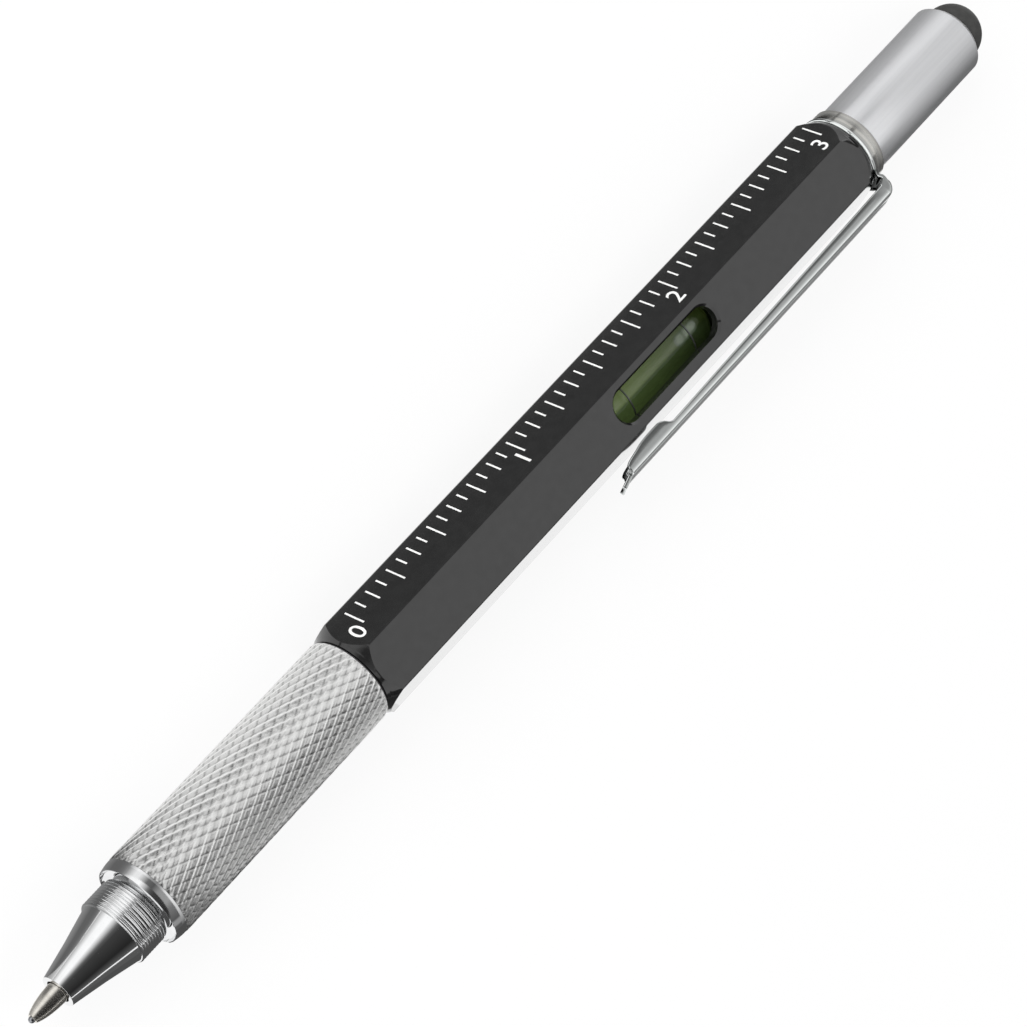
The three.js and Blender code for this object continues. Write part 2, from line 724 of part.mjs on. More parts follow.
function makeClipArm() {
  const bendCentre = [ringRear + clipBulge - clipBendRadius, clipArmTop - clipBendRadius];
  const sheetRadius = clipBendRadius - clipSheet;
  const frontBottom = clipArmTop - clipFrontHeight;
  const wingDepth = wingHeight - clipFrontHeight;
  const outline = [
    [ringRear, clipLegEnd],
    ...arc(...bendCentre, clipBendRadius, -clipLegAngle, Math.PI / 2),
    [clipArmFront, clipArmTop],
    ...wingEdgeShares.map(([along, down]) => [clipArmFront + along * wingLength, frontBottom - down * wingDepth]),
    [ringFront, clipArmBottom],
    [ringFront, clipLegEnd],
  ];
  const block = prismAcross(outline, -clipWidth / 2, clipWidth / 2);
  const corner = clipEdgeRadius;
  const halfWidth = clipWidth / 2;
  const section = [
    [0, -halfWidth],
    ...arc(clipArmTop - corner, -halfWidth + corner, corner, -Math.PI / 2, 0),
    ...arc(clipArmTop - corner, halfWidth - corner, corner, 0, Math.PI / 2),
    [0, halfWidth],
  ];
  const rounded = prismAlongPen(section, clipArmFront - cutOverrun, ringRear + clipBulge + cutOverrun);
  const hollowHalf = halfWidth - clipSheet;
  const hollow = prismAcross([
    [ringFront, clipLegEnd],
    ...arc(...bendCentre, sheetRadius, -clipLegAngle, Math.PI / 2),
    [clipArmFront - cutOverrun, clipArmTop - clipSheet],
    [clipArmFront - cutOverrun, 0],
    [ringFront, 0],
  ], -hollowHalf, hollowHalf);
  const tongueEnd = clipArmFront - tongueLength;
  const tongue = prismAcross([
    [clipArmFront + clipSheet, clipArmTop],
    [clipArmFront, clipArmTop],
    [tongueEnd, clipArmTop + tongueRise],
    [tongueEnd, clipArmTop + tongueRise - clipSheet],
    [clipArmFront, clipArmTop - clipSheet],
    [clipArmFront + clipSheet, clipArmTop - clipSheet],
  ], -tongueWidth / 2, tongueWidth / 2);
  return piece('clip_arm', block.intersect(rounded).subtract(hollow).add(tongue), springSteel);
}

// Tail collar, bit holder and bit

const collarBack = flangeRear + sleeveSpigotLength;
const holderRear = collarBack - holderSetback;
const socketFloor = holderRear - socketDepth;
const bitHexFront = socketFloor + bitProjection;
const bitTipLength = (bitLength - bitHexLength) / 2;
const bitFront = bitHexFront - bitTipLength;
const bitRear = bitFront + bitLength;
const holderFront = bitFront - faceGap - holderFloor;

function makeTailCollar() {
  const spigotFront = barrelRear - tailBoreLength + tailSpigotGap;
  const flange = flangeDiameter / 2;
  const bore = holderRadius + turnGap;
  const collar = turned([
    [spigotFront, bore],
    [spigotFront, tailSpigotRadius],
    [flangeFront, tailSpigotRadius],
    [flangeFront, flange],
    [flangeRear - flangeEdge, flange],
    [flangeRear, flange - flangeEdge],
    ...threadProfile(flangeRear, collarBack, sleeveBoreRadius - turnGap, threadPitch, threadDepth),
    [collarBack, bore],
  ]);
  return piece('tail_collar', collar, chrome);
}

function makeBitHolder() {
  const ringPlace = holderRear - gripRingSetback;
  const groove = tube(
    ringPlace - gripRingWidth / 2 - faceGap,
    ringPlace + gripRingWidth / 2 + faceGap,
    bitAcrossFlats / Math.sqrt(3) + gripRingThickness + 2 * turnGap,
    bitNeckDiameter / 2,
  );
  const socket = prismAlongPen(hexagon(socketAcrossFlats), socketFloor, holderRear + cutOverrun);
  const tipBoreRadius = bitNeckDiameter / 2 + holderWall / 2;
  const tipBore = rod(holderFront + holderFloor, socketFloor + faceGap, tipBoreRadius, smallSides);
  const shell = rod(holderFront, holderRear, holderRadius, smallSides);
  const ringBore = bitAcrossFlats / Math.sqrt(3) + turnGap;
  const gripRing = tube(
    ringPlace - gripRingWidth / 2,
    ringPlace + gripRingWidth / 2,
    ringBore + gripRingThickness - turnGap,
    ringBore,
  );
  return [
    piece('bit_holder', shell.subtract(socket).subtract(tipBore).subtract(groove), brass),
    piece('bit_grip_ring', gripRing, blackRubber),
  ];
}

// A double-ended bit: a cross point towards the stylus and a flat blade inside the holder.
function makeBit() {
  const neck = bitNeckDiameter / 2;
  const hexRear = bitHexFront + bitHexLength;
  const shank = prismAlongPen(hexagon(bitAcrossFlats), bitHexFront, hexRear);
  const shoulder = bitAcrossFlats / 2;
  const stem = turned([
    [bitFront, 0],
    [bitFront, neck],
    [bitHexFront - bitNeckTaper, neck],
    [bitHexFront, shoulder],
    [hexRear, shoulder],
    [hexRear + bitNeckTaper, neck],
    [bitRear - bitPointLength, neck],
    [bitRear, bitPointDiameter / 2],
    [bitRear, 0],
  ], smallSides);
  const flute = bitFluteWidth / 2;
  const flutes = [];
  for (const [sideY, sideZ] of [[1, 1], [1, -1], [-1, 1], [-1, -1]]) {
    const outer = neck + cutOverrun;
    const lowY = Math.min(sideY * flute, sideY * outer);
    const lowZ = Math.min(sideZ * flute, sideZ * outer);
    const reach = outer - flute;
    flutes.push(box(
      [bitRear - bitFluteLength, lowY, lowZ],
      [bitRear + cutOverrun, lowY + reach, lowZ + reach],
    ));
  }
  const bladeRear = bitFront + bitBladeLength;
  const blade = [1, -1].map((side) => prismAcross([
    [bitFront - cutOverrun, (side * bitBladeThickness) / 2],
    [bitFront, (side * bitBladeThickness) / 2],
    [bladeRear, side * neck],
    [bladeRear, side * (neck + cutOverrun)],
    [bitFront - cutOverrun, side * (neck + cutOverrun)],
  ], -neck - cutOverrun, neck + cutOverrun));
  let bit = shank.add(stem);
  [...flutes, ...blade].forEach((cutter) => {
    bit = bit.subtract(cutter);
  });
  return piece('screwdriver_bit', bit, toolSteel);
}

// Stylus

function makeStylus() {
  const radius = sleeveDiameter / 2;
  const sleeve = turned([
    [sleeveFront, sleeveBoreRadius],
    [sleeveFront, radius],
    [sleeveRear - sleeveEndChamfer, radius],
    [sleeveRear, sleeveMouthDiameter / 2],
    [sleeveRear, sleeveBoreRadius],
  ]);
  const dome = domeDiameter / 2;
  const inner = dome - domeWall;
  const skin = turned([
    ...arc(domeCentre, 0, dome, 0, Math.PI / 2).map(([x, r], i) => [x, i === 0 ? 0 : r]),
    [domeSkirtFront, dome],
    [domeSkirtFront, inner],
    ...arc(domeCentre, 0, inner, Math.PI / 2, 0).map(([x, r], i) => [x, i === arcSteps ? 0 : r]),
  ]);
  const nipple = inner - turnGap;
  const insertRear = domeSkirtFront - faceGap;
  const insert = turned([
    [insertRear - insertFlangeLength, 0],
    [insertRear - insertFlangeLength, sleeveBoreRadius - turnGap],
    [insertRear, sleeveBoreRadius - turnGap],
    [insertRear, nipple],
    [domeCentre - turnGap, nipple],
    [domeCentre - turnGap, 0],
  ]);
  return [
    piece('stylus_sleeve', sleeve, satinAluminium),
    piece('stylus_insert', insert, brass),
    piece('stylus_dome', skin, blackRubber),
  ];
}

// Assembly

const clip = new THREE.Group();
clip.rotation.x = clipTurn;
clip.add(makeClipRing(), makeClipArm());

const pen = new THREE.Group();
pen.position.z = axisHeight;
pen.add(
  makeBarrel(),
  ...makeVial(),
  makeBubble(),
  ...makeGrip(),
  makeGripCollar(),
  makeNose(),
  makeCam(),
  ...makeGuide(),
  makeCarrier(),
  makeRefillTip(),
  makeBall(),
  makeRefillPlug(),
  ...makeRefillTube(),
  makeTailCollar(),
  ...makeBitHolder(),
  makeBit(),
  ...makeStylus(),
  clip,
);

const model = new THREE.Group();
model.add(pen);

export default model;
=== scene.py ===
# Looks of a twist ballpoint pen that is also a ruler, a spirit level, a screwdriver and a stylus.
# Lengths are in metres. X runs along the pen from the writing point to the stylus, and Z is up.

import math

import bmesh
import bpy
from mathutils import Matrix, Vector


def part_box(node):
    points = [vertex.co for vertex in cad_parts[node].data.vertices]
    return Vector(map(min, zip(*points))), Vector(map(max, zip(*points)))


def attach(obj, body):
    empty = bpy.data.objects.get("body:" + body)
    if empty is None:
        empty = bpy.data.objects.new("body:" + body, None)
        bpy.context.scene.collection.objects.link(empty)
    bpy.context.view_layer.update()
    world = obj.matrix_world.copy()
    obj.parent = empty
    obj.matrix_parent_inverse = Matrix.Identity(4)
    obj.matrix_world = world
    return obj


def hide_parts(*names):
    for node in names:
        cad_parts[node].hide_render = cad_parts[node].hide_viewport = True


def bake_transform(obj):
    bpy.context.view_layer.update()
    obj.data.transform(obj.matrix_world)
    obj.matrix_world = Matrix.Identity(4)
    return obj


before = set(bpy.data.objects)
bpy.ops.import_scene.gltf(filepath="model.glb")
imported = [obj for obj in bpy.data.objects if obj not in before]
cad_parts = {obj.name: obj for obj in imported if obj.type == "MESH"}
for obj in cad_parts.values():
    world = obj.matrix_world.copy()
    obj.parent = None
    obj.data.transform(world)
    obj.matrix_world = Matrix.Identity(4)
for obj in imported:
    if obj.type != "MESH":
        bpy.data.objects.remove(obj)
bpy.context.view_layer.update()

mm = 0.001
micron = 0.001 * mm
micron_digits = 6
half_turn = math.pi
quarter_turn = half_turn / 2
full_turn = half_turn * 2

# Sizes taken from the frame
barrel_low, barrel_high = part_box("hex_barrel")
axis_height = (barrel_low.z + barrel_high.z) / 2
apothem = (barrel_high.z - barrel_low.z) / 2
corner_reach = apothem / math.cos(math.radians(30))


# Camera at the photograph's viewing angle

camera_place = Vector((-0.19653, 0.12780, 0.34324))
camera_target = Vector((-0.01575, -0.00073, 0.00495))
camera_up = Vector((0.65462, 0.75327, 0.06363))
camera_lens = 142.89
camera_sensor = 36.0
camera_near = 0.01
camera_far = 20


def make_camera():
    data = bpy.data.cameras.new("camera")
    data.lens = camera_lens
    data.sensor_width = camera_sensor
    data.sensor_fit = "HORIZONTAL"
    data.clip_start = camera_near
    data.clip_end = camera_far
    camera = new_object("camera", data)
    back = (camera_place - camera_target).normalized()
    right = camera_up.cross(back).normalized()
    turn = Matrix((right, back.cross(right), back)).transposed()
    camera.matrix_world = Matrix.Translation(camera_place) @ turn.to_4x4()
    bpy.context.scene.camera = camera


# Mesh helpers

fine_edge = 0.03 * mm
usual_edge = 0.05 * mm
broad_edge = 0.1 * mm
least_corner = math.radians(14)
same_angle = 0.001
longest_cut_share = 0.45


def new_object(name, data):
    thing = bpy.data.objects.new(name, data)
    bpy.context.scene.collection.objects.link(thing)
    return thing


def add_object(name, points, faces, material, sharp_degrees=32):
    """A mesh object with faces that point out, smooth except across edges sharper than the angle given."""
    mesh = bpy.data.meshes.new(name)
    mesh.from_pydata([tuple(p) for p in points], [], faces)
    mesh.validate()
    mesh.update()
    mesh.materials.append(material)
    editable = bmesh.new()
    editable.from_mesh(mesh)
    bmesh.ops.recalc_face_normals(editable, faces=editable.faces)
    editable.to_mesh(mesh)
    editable.free()
    shade(mesh, sharp_degrees)
    return new_object(name, mesh)


def shade(mesh, sharp_degrees):
    mesh.shade_smooth()
    mesh.set_sharp_from_angle(angle=math.radians(sharp_degrees))


def carry(mesh, name, values):
    """Stores one number for each of a mesh's points."""
    layer = mesh.attributes.new(name, "FLOAT", "POINT")
    for i, value in enumerate(values):
        layer.data[i].value = value


def final_mesh(thing):
    """The object's mesh once its modifiers or its curve are worked out."""
    bpy.context.view_layer.update()
    graph = bpy.context.evaluated_depsgraph_get()
    return bpy.data.meshes.new_from_object(thing.evaluated_get(graph))


def place(piece, body, *nodes, slot=None):
    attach(piece, body)
    if nodes:
        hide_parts(*nodes)
    return piece


def mix(one, two, share):
    return one + (two - one) * share


def bow(start, corner, end, share):
    """A point of the curve that leaves its start towards the corner and reaches its end from there."""
    return mix(mix(start, corner, share), mix(corner, end, share), share)


def smooth_step(share):
    share = min(1.0, max(0.0, share))
    return share * share * (3 - 2 * share)


def shares_of(steps):
    """Shares from 0 to 1 in even steps."""
    return [i / steps for i in range(steps + 1)]


def circle(x, r, count):
    """Points round the pen's axis."""
    angles = [full_turn * k / count for k in range(count)]
    return [(x, r * math.cos(angle), axis_height + r * math.sin(angle)) for angle in angles]


def bands(rows, count, closed=False, first=0):
    """Faces between rows of points that each go once round. Closed joins the last row to the first."""
    faces = []
    for i in range(rows if closed else rows - 1):
        one = first + i * count
        two = first + (i + 1) % rows * count
        for k in range(count):
            after = (k + 1) % count
            faces.append((one + k, one + after, two + after, two + k))
    return faces


def arc(x, r, radius, start, end, steps):
    """Points of an arc in a turned profile. The angle runs from +X towards a growing radius."""
    angles = [mix(start, end, share) for share in shares_of(steps)]
    return [(x + radius * math.cos(angle), r + radius * math.sin(angle)) for angle in angles]


def rounded(profile, radius, closed, steps=4, least_turn=least_corner):
    """The profile with its corners rounded. A corner that turns less than least_turn stays."""
    count = len(profile)
    points = []
    for i, corner in enumerate(profile):
        here = Vector(corner)
        before = Vector(profile[i - 1]) - here
        after = Vector(profile[(i + 1) % count]) - here
        shortest = min(before.length, after.length)
        loose_end = not closed and i in (0, count - 1)
        turn = half_turn - before.angle(after) if shortest > 0 else 0
        if loose_end or turn < least_turn:
            points.append(corner)
            continue
        reach = min(radius * math.tan(turn / 2), longest_cut_share * shortest)
        start = here + before.normalized() * reach
        end = here + after.normalized() * reach
        points += [tuple(bow(start, here, end, share)) for share in shares_of(steps)]
    return points


def revolve(name, profile, material, segments=96, sharp_degrees=32):
    """A turned piece. The profile is (place along the pen, radius) points, closed or from axis to axis."""
    points = []
    rings = []
    for x, r in profile:
        ring = [(x, 0, axis_height)] if r < micron / 100 else circle(x, r, segments)
        rings.append(range(len(points), len(points) + len(ring)))
        points += ring
    pairs = list(zip(rings, rings[1:]))
    if len(rings[0]) > 1:
        pairs.append((rings[-1], rings[0]))
    faces = []
    for one, two in pairs:
        for k in range(segments):
            after = (k + 1) % segments
            corners = (one[k % len(one)], one[after % len(one)], two[after % len(two)], two[k % len(two)])
            face = tuple(dict.fromkeys(corners))
            if len(face) > 2:
                faces.append(face)
    return add_object(name, points, faces, material, sharp_degrees)


def cad_profile(node):
    """The outline of a turned CAD node, read along one line of its mesh, and whether it is a closed loop."""
    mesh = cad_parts[node].data
    polar = []
    for v in mesh.vertices:
        y, z = v.co.y, v.co.z - axis_height
        x, r = (round(size, micron_digits + 1) for size in (v.co.x, math.hypot(y, z)))
        polar.append((x, r, math.atan2(z, y)))
    line_angle = max(polar, key=lambda p: p[1])[2]
    line = {}
    for i, (x, r, angle) in enumerate(polar):
        off = (angle - line_angle + half_turn) % full_turn - half_turn
        if r < micron or abs(off) < same_angle:
            line[i] = (round(x, micron_digits), round(r, micron_digits))
    links = {}
    for edge in mesh.edges:
        a, b = (line.get(i) for i in edge.vertices)
        if a is None or b is None or a == b or max(a[1], b[1]) < micron:
            continue
        links.setdefault(a, set()).add(b)
        links.setdefault(b, set()).add(a)
    ends = sorted(p for p in links if len(links[p]) == 1)
    closed = not ends
    here = min(links) if closed else ends[0]
    path = [here]
    before = None
    while True:
        onward = [p for p in links[here] if p != before and p not in path[1:]]
        onward = [p for p in onward if p != path[0] or len(path) > 2]
        if not onward:
            break
        before, here = here, onward[0]
        if here == path[0]:
            break
        path.append(here)
    return path, closed


def turned_copy(node, body, material, slot, edge=usual_edge, segments=96):
    """A fine copy of a turned CAD node, with rounded edges, that stands for the node."""
    profile, closed = cad_profile(node)
    piece = revolve(node + "_fine", rounded(profile, edge, closed), material, segments)
    return place(piece, body, node, slot=slot)


def dress(node, material):
    """A CAD node that stays, with its finish."""
    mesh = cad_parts[node].data
    mesh.materials.clear()
    mesh.materials.append(material)
    shade(mesh, 32)


# Materials

# The liquid's painted light: where across the vial it turns to painted shade, how soft that edge is, and
# where along the pen it dims
painted_light_edge = -0.42 * mm
painted_light_blur = 0.06 * mm
painted_light_fall = (1 * mm, 13.5 * mm)
polish_depth = 0.0008 * mm
lacquer_depth = 0.001 * mm
satin_depth = 0.0015 * mm
drawn_depth = 0.002 * mm
turned_depth = 0.004 * mm
moulded_depth = 0.006 * mm
blasted_depth = 0.02 * mm
along_pen = (0.02, 1, 1)
round_pen = (1, 0.02, 0.02)


def grey(value):
    return (value, value, value)


def set_up(node, settings):
    """Sets a node's sockets and, where no socket has the name, its own settings."""
    for key, value in settings.items():
        label = key.replace("_", " ")
        if label in node.inputs:
            node.inputs[label].default_value = value
        else:
            setattr(node, key, value)


def add_node(tree, kind, *fed, **settings):
    """A shader node. What is fed goes to its sockets in order: a socket is linked and a value is set."""
    node = tree.nodes.new(kind)
    set_up(node, settings)
    for source, socket in zip(fed, node.inputs):
        if isinstance(source, bpy.types.NodeSocket):
            tree.links.new(source, socket)
        else:
            socket.default_value = source
    return node


def bare_tree(owner):
    owner.use_nodes = True
    owner.node_tree.nodes.clear()
    return owner.node_tree


def principled(name, **settings):
    material = bpy.data.materials.new(name)
    material.use_nodes = True
    shader = material.node_tree.nodes["Principled BSDF"]
    set_up(shader, settings)
    return material, material.node_tree, shader


def grain(tree, scale, detail=4.0, stretch=(1, 1, 1)):
    """Noise over the object, stretched along the axes given."""
    where = add_node(tree, "ShaderNodeTexCoord")
    mapping = add_node(tree, "ShaderNodeMapping", where.outputs["Object"], Scale=stretch)
    noise = add_node(tree, "ShaderNodeTexNoise", mapping.outputs["Vector"], Scale=scale, Detail=detail)
    return noise.outputs["Fac"]


def spread(tree, source, low, high, start=0.3, end=0.7):
    """A number that goes from low to high while its source goes from start to end."""
    span = add_node(tree, "ShaderNodeMapRange", source, From_Min=start, From_Max=end, To_Min=low, To_Max=high)
    return span.outputs["Result"]


def ramp(tree, source, dark, light, start=0.3, end=0.7):
    """A colour that goes from dark to light while its source goes from start to end."""
    node = add_node(tree, "ShaderNodeValToRGB", source)
    for element, position, colour in zip(node.color_ramp.elements, (start, end), (dark, light)):
        element.position = position
        element.color = (*colour, 1)
    return node.outputs["Color"]


def bump(tree, shader, source, distance):
    node = add_node(tree, "ShaderNodeBump", Strength=1.0, Distance=distance)
    tree.links.new(source, node.inputs["Height"])
    tree.links.new(node.outputs["Normal"], shader.inputs["Normal"])


def roughen(tree, shader, fine_grain, low, high, depth, bump_grain=None):
    """Roughness from a grain, and a small relief from the same grain or from another."""
    fine = grain(tree, *fine_grain)
    tree.links.new(spread(tree, fine, low, high), shader.inputs["Roughness"])
    bump(tree, shader, grain(tree, *bump_grain) if bump_grain else fine, depth)


def finish(name, colour_grain, dark, light, *rough, **settings):
    """A material whose colour, roughness and small relief follow grains of their own."""
    material, tree, shader = principled(name, **settings)
    tree.links.new(ramp(tree, grain(tree, *colour_grain), dark, light), shader.inputs["Base Color"])
    roughen(tree, shader, *rough)
    return material


def make_lacquer():
    rough = ((3000,), 0.10, 0.16, lacquer_depth, (1500, 2.0))
    gloss = {"Coat_Weight": 1.0, "Coat_Roughness": 0.02, "Coat_IOR": 1.5, "Specular_IOR_Level": 0.25}
    return finish("black_lacquer", (900,), grey(0.008), grey(0.013), *rough, **gloss)


def make_chrome():
    light = (0.90, 0.905, 0.91)
    dark = tuple(c * 0.95 for c in light)
    rough = ((9000, 3.0, round_pen), 0.05, 0.1, polish_depth)
    return finish("chrome", (700,), dark, light, *rough, Metallic=1.0)


def make_metal(name, dark, light, low, high, scale, stretch, depth=turned_depth):
    rough = ((scale, 5.0, stretch), low, high, depth)
    return finish(name, (scale / 5, 4.0, stretch), dark, light, *rough, Metallic=1.0)


def make_moulded(name, dark, light, low, high, depth=moulded_depth):
    return finish(name, (1500,), dark, light, (5000, 6.0), low, high, depth)


def carried_shade(name, attribute, dark, light, *rough):
    """A metal whose colour follows a number that the mesh carries, with a little noise: painted highlights
    and painted shade.
    """
    material, tree, shader = principled(name, Metallic=1.0)
    carried = add_node(tree, "ShaderNodeAttribute", attribute_name=attribute)
    uneven = spread(tree, grain(tree, 1500, 3.0), 0.94, 1.06, 0, 1)
    product = add_node(tree, "ShaderNodeMath", carried.outputs["Fac"], uneven, operation="MULTIPLY")
    tree.links.new(ramp(tree, product.outputs[0], dark, light, 0, 1), shader.inputs["Base Color"])
    roughen(tree, shader, *rough)
    return material


def make_liquid():
    """Green liquid that glows with painted light: painted light on the ruler's side, painted shade on the
    other, and dimmer towards the stylus.
    """
    material, tree, shader = principled("green_liquid", Roughness=0.25, IOR=1.38)
    body = ramp(tree, grain(tree, 800), (0.012, 0.020, 0.006), (0.016, 0.026, 0.008))
    where = add_node(tree, "ShaderNodeTexCoord")
    split = add_node(tree, "ShaderNodeSeparateXYZ", where.outputs["Object"])
    side = spread(tree, split.outputs["Y"], 0, 1, painted_light_edge - painted_light_blur, painted_light_edge + painted_light_blur)
    # Painted light: a brighter glow on the ruler's side than on the other
    glow = ramp(tree, side, (0.028, 0.042, 0.013), (0.056, 0.079, 0.017), 0, 1)
    painted_dimming = spread(tree, split.outputs["X"], 1.0, 0.15, *painted_light_fall)
    tree.links.new(body, shader.inputs["Base Color"])
    tree.links.new(glow, shader.inputs["Emission Color"])
    tree.links.new(painted_dimming, shader.inputs["Emission Strength"])
    return material


def make_gas():
    """The bubble in painted light: a pale painted glow in the middle and a dark painted rim."""
    material, tree, shader = principled("bubble_gas", Roughness=0.2, Emission_Strength=1.0)
    body = ramp(tree, grain(tree, 800), (0.020, 0.030, 0.014), (0.026, 0.036, 0.018))
    rim = add_node(tree, "ShaderNodeAttribute", attribute_name="rim")
    # Painted light: the glow fades from the middle to a dark rim
    glow = ramp(tree, rim.outputs["Fac"], (0.034, 0.046, 0.028), (0.012, 0.020, 0.009), 0.72, 0.9)
    tree.links.new(body, shader.inputs["Base Color"])
    tree.links.new(glow, shader.inputs["Emission Color"])
    return material


def make_acrylic():
    colour = (0.93, 0.97, 0.90, 1)
    look = {"Base_Color": colour, "Roughness": 0.02, "IOR": 1.25, "Transmission_Weight": 1.0}
    material, tree, shader = principled("clear_acrylic", **look)
    bump(tree, shader, grain(tree, 600, 2.0), lacquer_depth)
    return material


lacquer = make_lacquer()
chrome = make_chrome()
# Bright steel with painted highlights on its shoulders and lips, and painted shade on its walls and inside
clip_rough = ((9000, 3.0, along_pen), 0.06, 0.12, polish_depth)
clip_painted_light = carried_shade("clip_steel", "painted_light", grey(0), (0.97, 1.0, 0.99), *clip_rough)
# Aluminium with painted highlights on the knurl's ridges and painted shade in its cuts
knurl_rough = ((9000, 5.0), 0.24, 0.42, blasted_depth, (3600, 5.0))
knurl_painted_light = carried_shade("knurled_aluminium_painted_light", "ridge", grey(0.10), (1.0, 1.0, 0.99), *knurl_rough)
turned_steel = make_metal(
    "turned_steel", (0.36, 0.365, 0.355), (0.56, 0.55, 0.52), 0.10, 0.18, 12000, (1, 0.01, 0.01)
)
satin = make_metal(
    "satin_aluminium", (0.74, 0.745, 0.76), (0.80, 0.805, 0.82), 0.28, 0.36, 12000, (0.03, 1, 1), satin_depth
)
brass = make_metal("turned_brass", (0.62, 0.46, 0.21), (0.78, 0.60, 0.31), 0.22, 0.38, 8000, (1, 0.03, 0.03))
nickel_silver = make_metal(
    "nickel_silver", (0.72, 0.69, 0.63), (0.86, 0.83, 0.77), 0.22, 0.32, 9000, (1, 0.03, 0.03), lacquer_depth
)
drawn_metal = make_metal(
    "drawn_metal", (0.66, 0.66, 0.67), (0.76, 0.76, 0.77), 0.16, 0.28, 9000, (0.03, 1, 1), drawn_depth
)
tool_steel = make_metal(
    "tool_steel", (0.36, 0.37, 0.39), (0.47, 0.48, 0.50), 0.22, 0.36, 7000, (1, 0.05, 0.05)
)
black_plastic = make_moulded("black_plastic", (0.020, 0.020, 0.022), (0.034, 0.034, 0.036), 0.35, 0.5)
# The rear plug's dark olive is painted green light, standing in for the light that the liquid lets into the
# window's dark end
olive_painted_light = make_moulded("olive_painted_light", (0.030, 0.036, 0.024), (0.042, 0.050, 0.034), 0.35, 0.5)
white_plastic = make_moulded("white_plastic", (0.70, 0.69, 0.65), (0.80, 0.79, 0.75), 0.35, 0.5)
dome_rubber = make_moulded(
    "dome_rubber", (0.026, 0.026, 0.025), (0.040, 0.040, 0.038), 0.5, 0.62, turned_depth
)
seal_rubber = make_moulded("seal_rubber", grey(0.018), grey(0.03), 0.5, 0.7)
ink = make_moulded("ink", (0.008, 0.01, 0.025), (0.014, 0.016, 0.04), 0.25, 0.35)
print_white = make_moulded("print_white", (0.80, 0.80, 0.79), (0.90, 0.90, 0.89), 0.45, 0.6, drawn_depth)
acrylic = make_acrylic()
liquid = make_liquid()
gas = make_gas()


# Hexagonal barrel
# Its section is a hexagon limited by a turned radius, which leaves a fine rounded land on each edge and
# cone faces at both ends.

land_depth = 0.045 * mm
land_radius = corner_reach - land_depth
front_chamfer = 1.35 * mm
tail_chamfer = 1.95 * mm
front_rim = 4.72 * mm
tail_rim = 4.67 * mm
rim_edge = 0.08 * mm
barrel_bore = 3.9 * mm
tail_bore = 3.45 * mm
tail_bore_length = 14 * mm
chamfer_steps = 26
flat_shares = (0, 0.3, 0.8, 0.92, 0.97, 0.99, 1)
arc_shares = (0.08, 0.3, 0.6, 1)
window_length = 16.36 * mm
window_width = 3.64 * mm
window_middle = 5.9 * mm
window_edge = 0.26 * mm
level_enough = 0.9999  # the upward part of a face's direction from which it counts as level


def hexagon_ring(radius):
    """Points across the pen of a hexagon with flats at the top and bottom, turned down to a radius."""
    half_side = math.radians(30)
    half_flat = math.acos(min(1.0, apothem / radius)) if radius > apothem else 0.0
    half_flat = min(half_flat, half_side)
    offsets = [half_flat * s for s in flat_shares]
    offsets += [mix(half_flat, half_side, s) for s in arc_shares]
    sector = [-a for a in reversed(offsets[1:-1])] + offsets
    ring = []
    for k in range(6):
        middle = math.radians(90 + 60 * k)
        for offset in sector:
            reach = min(radius, apothem / math.cos(offset))
            angle = middle + offset
            ring.append((reach * math.cos(angle), reach * math.sin(angle)))
    return ring


def chamfer_rows(end, rim, length):
    """Rows of the turned chamfer at one end, from its rim to the full section. Length is signed inward."""
    rows = []
    for share in shares_of(chamfer_steps):
        rows.append((end + length * share, min(mix(rim, corner_reach, share), land_radius)))
    return rows


def make_barrel():
    low, high = barrel_low.x, barrel_high.x
    front = chamfer_rows(low + rim_edge, front_rim + rim_edge / 2, front_chamfer)
    rear = chamfer_rows(high - rim_edge, tail_rim + rim_edge / 2, -tail_chamfer)
    rows = [(low, front_rim - rim_edge), (low + rim_edge / 4, front_rim), *front]
    rows += [*reversed(rear), (high - rim_edge / 4, tail_rim), (high, tail_rim - rim_edge)]
    step = high - tail_bore_length
    like = hexagon_ring(land_radius)
    points = [(x, y, axis_height + z) for x, r in rows for y, z in hexagon_ring(r)]
    for x, r in ((high, tail_bore), (step, tail_bore), (step, barrel_bore), (low, barrel_bore)):
        for y, z in like:
            share = r / math.hypot(y, z)
            points.append((x, y * share, axis_height + z * share))
    barrel = add_object("barrel_shell", points, bands(len(rows) + 4, len(like), closed=True), lacquer)
    cut_window(barrel)
    shade(barrel.data, 20)
    shade_window_flat(barrel.data)
    return place(barrel, "barrel", "hex_barrel", slot="barrel_lacquer")


def slot_outline(grow):
    """The window's outline, grown by a small width all round."""
    radius = window_width / 2 + grow
    reach = window_length / 2 - window_width / 2
    right = arc(window_middle + reach, 0, radius, -quarter_turn, quarter_turn, 32)
    left = arc(window_middle - reach, 0, radius, quarter_turn, 1.5 * half_turn, 32)
    return right + left


def cut_window(barrel):
    """Cuts the window through the top wall, with a narrow chamfer round it."""
    top = barrel_high.z
    levels = [(axis_height, 0)]
    levels += [(top + (grow - 1) * window_edge, grow * window_edge) for grow in range(3)]
    points = [(x, y, height) for height, grow in levels for x, y in slot_outline(grow)]
    count = len(points) // len(levels)
    faces = [tuple(range(count - 1, -1, -1)), tuple(range(len(points) - count, len(points)))]
    cutter = add_object("window_cutter", points, faces + bands(len(levels), count), lacquer)
    modifier = barrel.modifiers.new("window", "BOOLEAN")
    modifier.operation = "DIFFERENCE"
    modifier.solver = "EXACT"
    modifier.object = cutter
    mesh = final_mesh(barrel)
    barrel.modifiers.clear()
    barrel.data = mesh
    bpy.data.objects.remove(cutter)
    even_triangles(mesh)


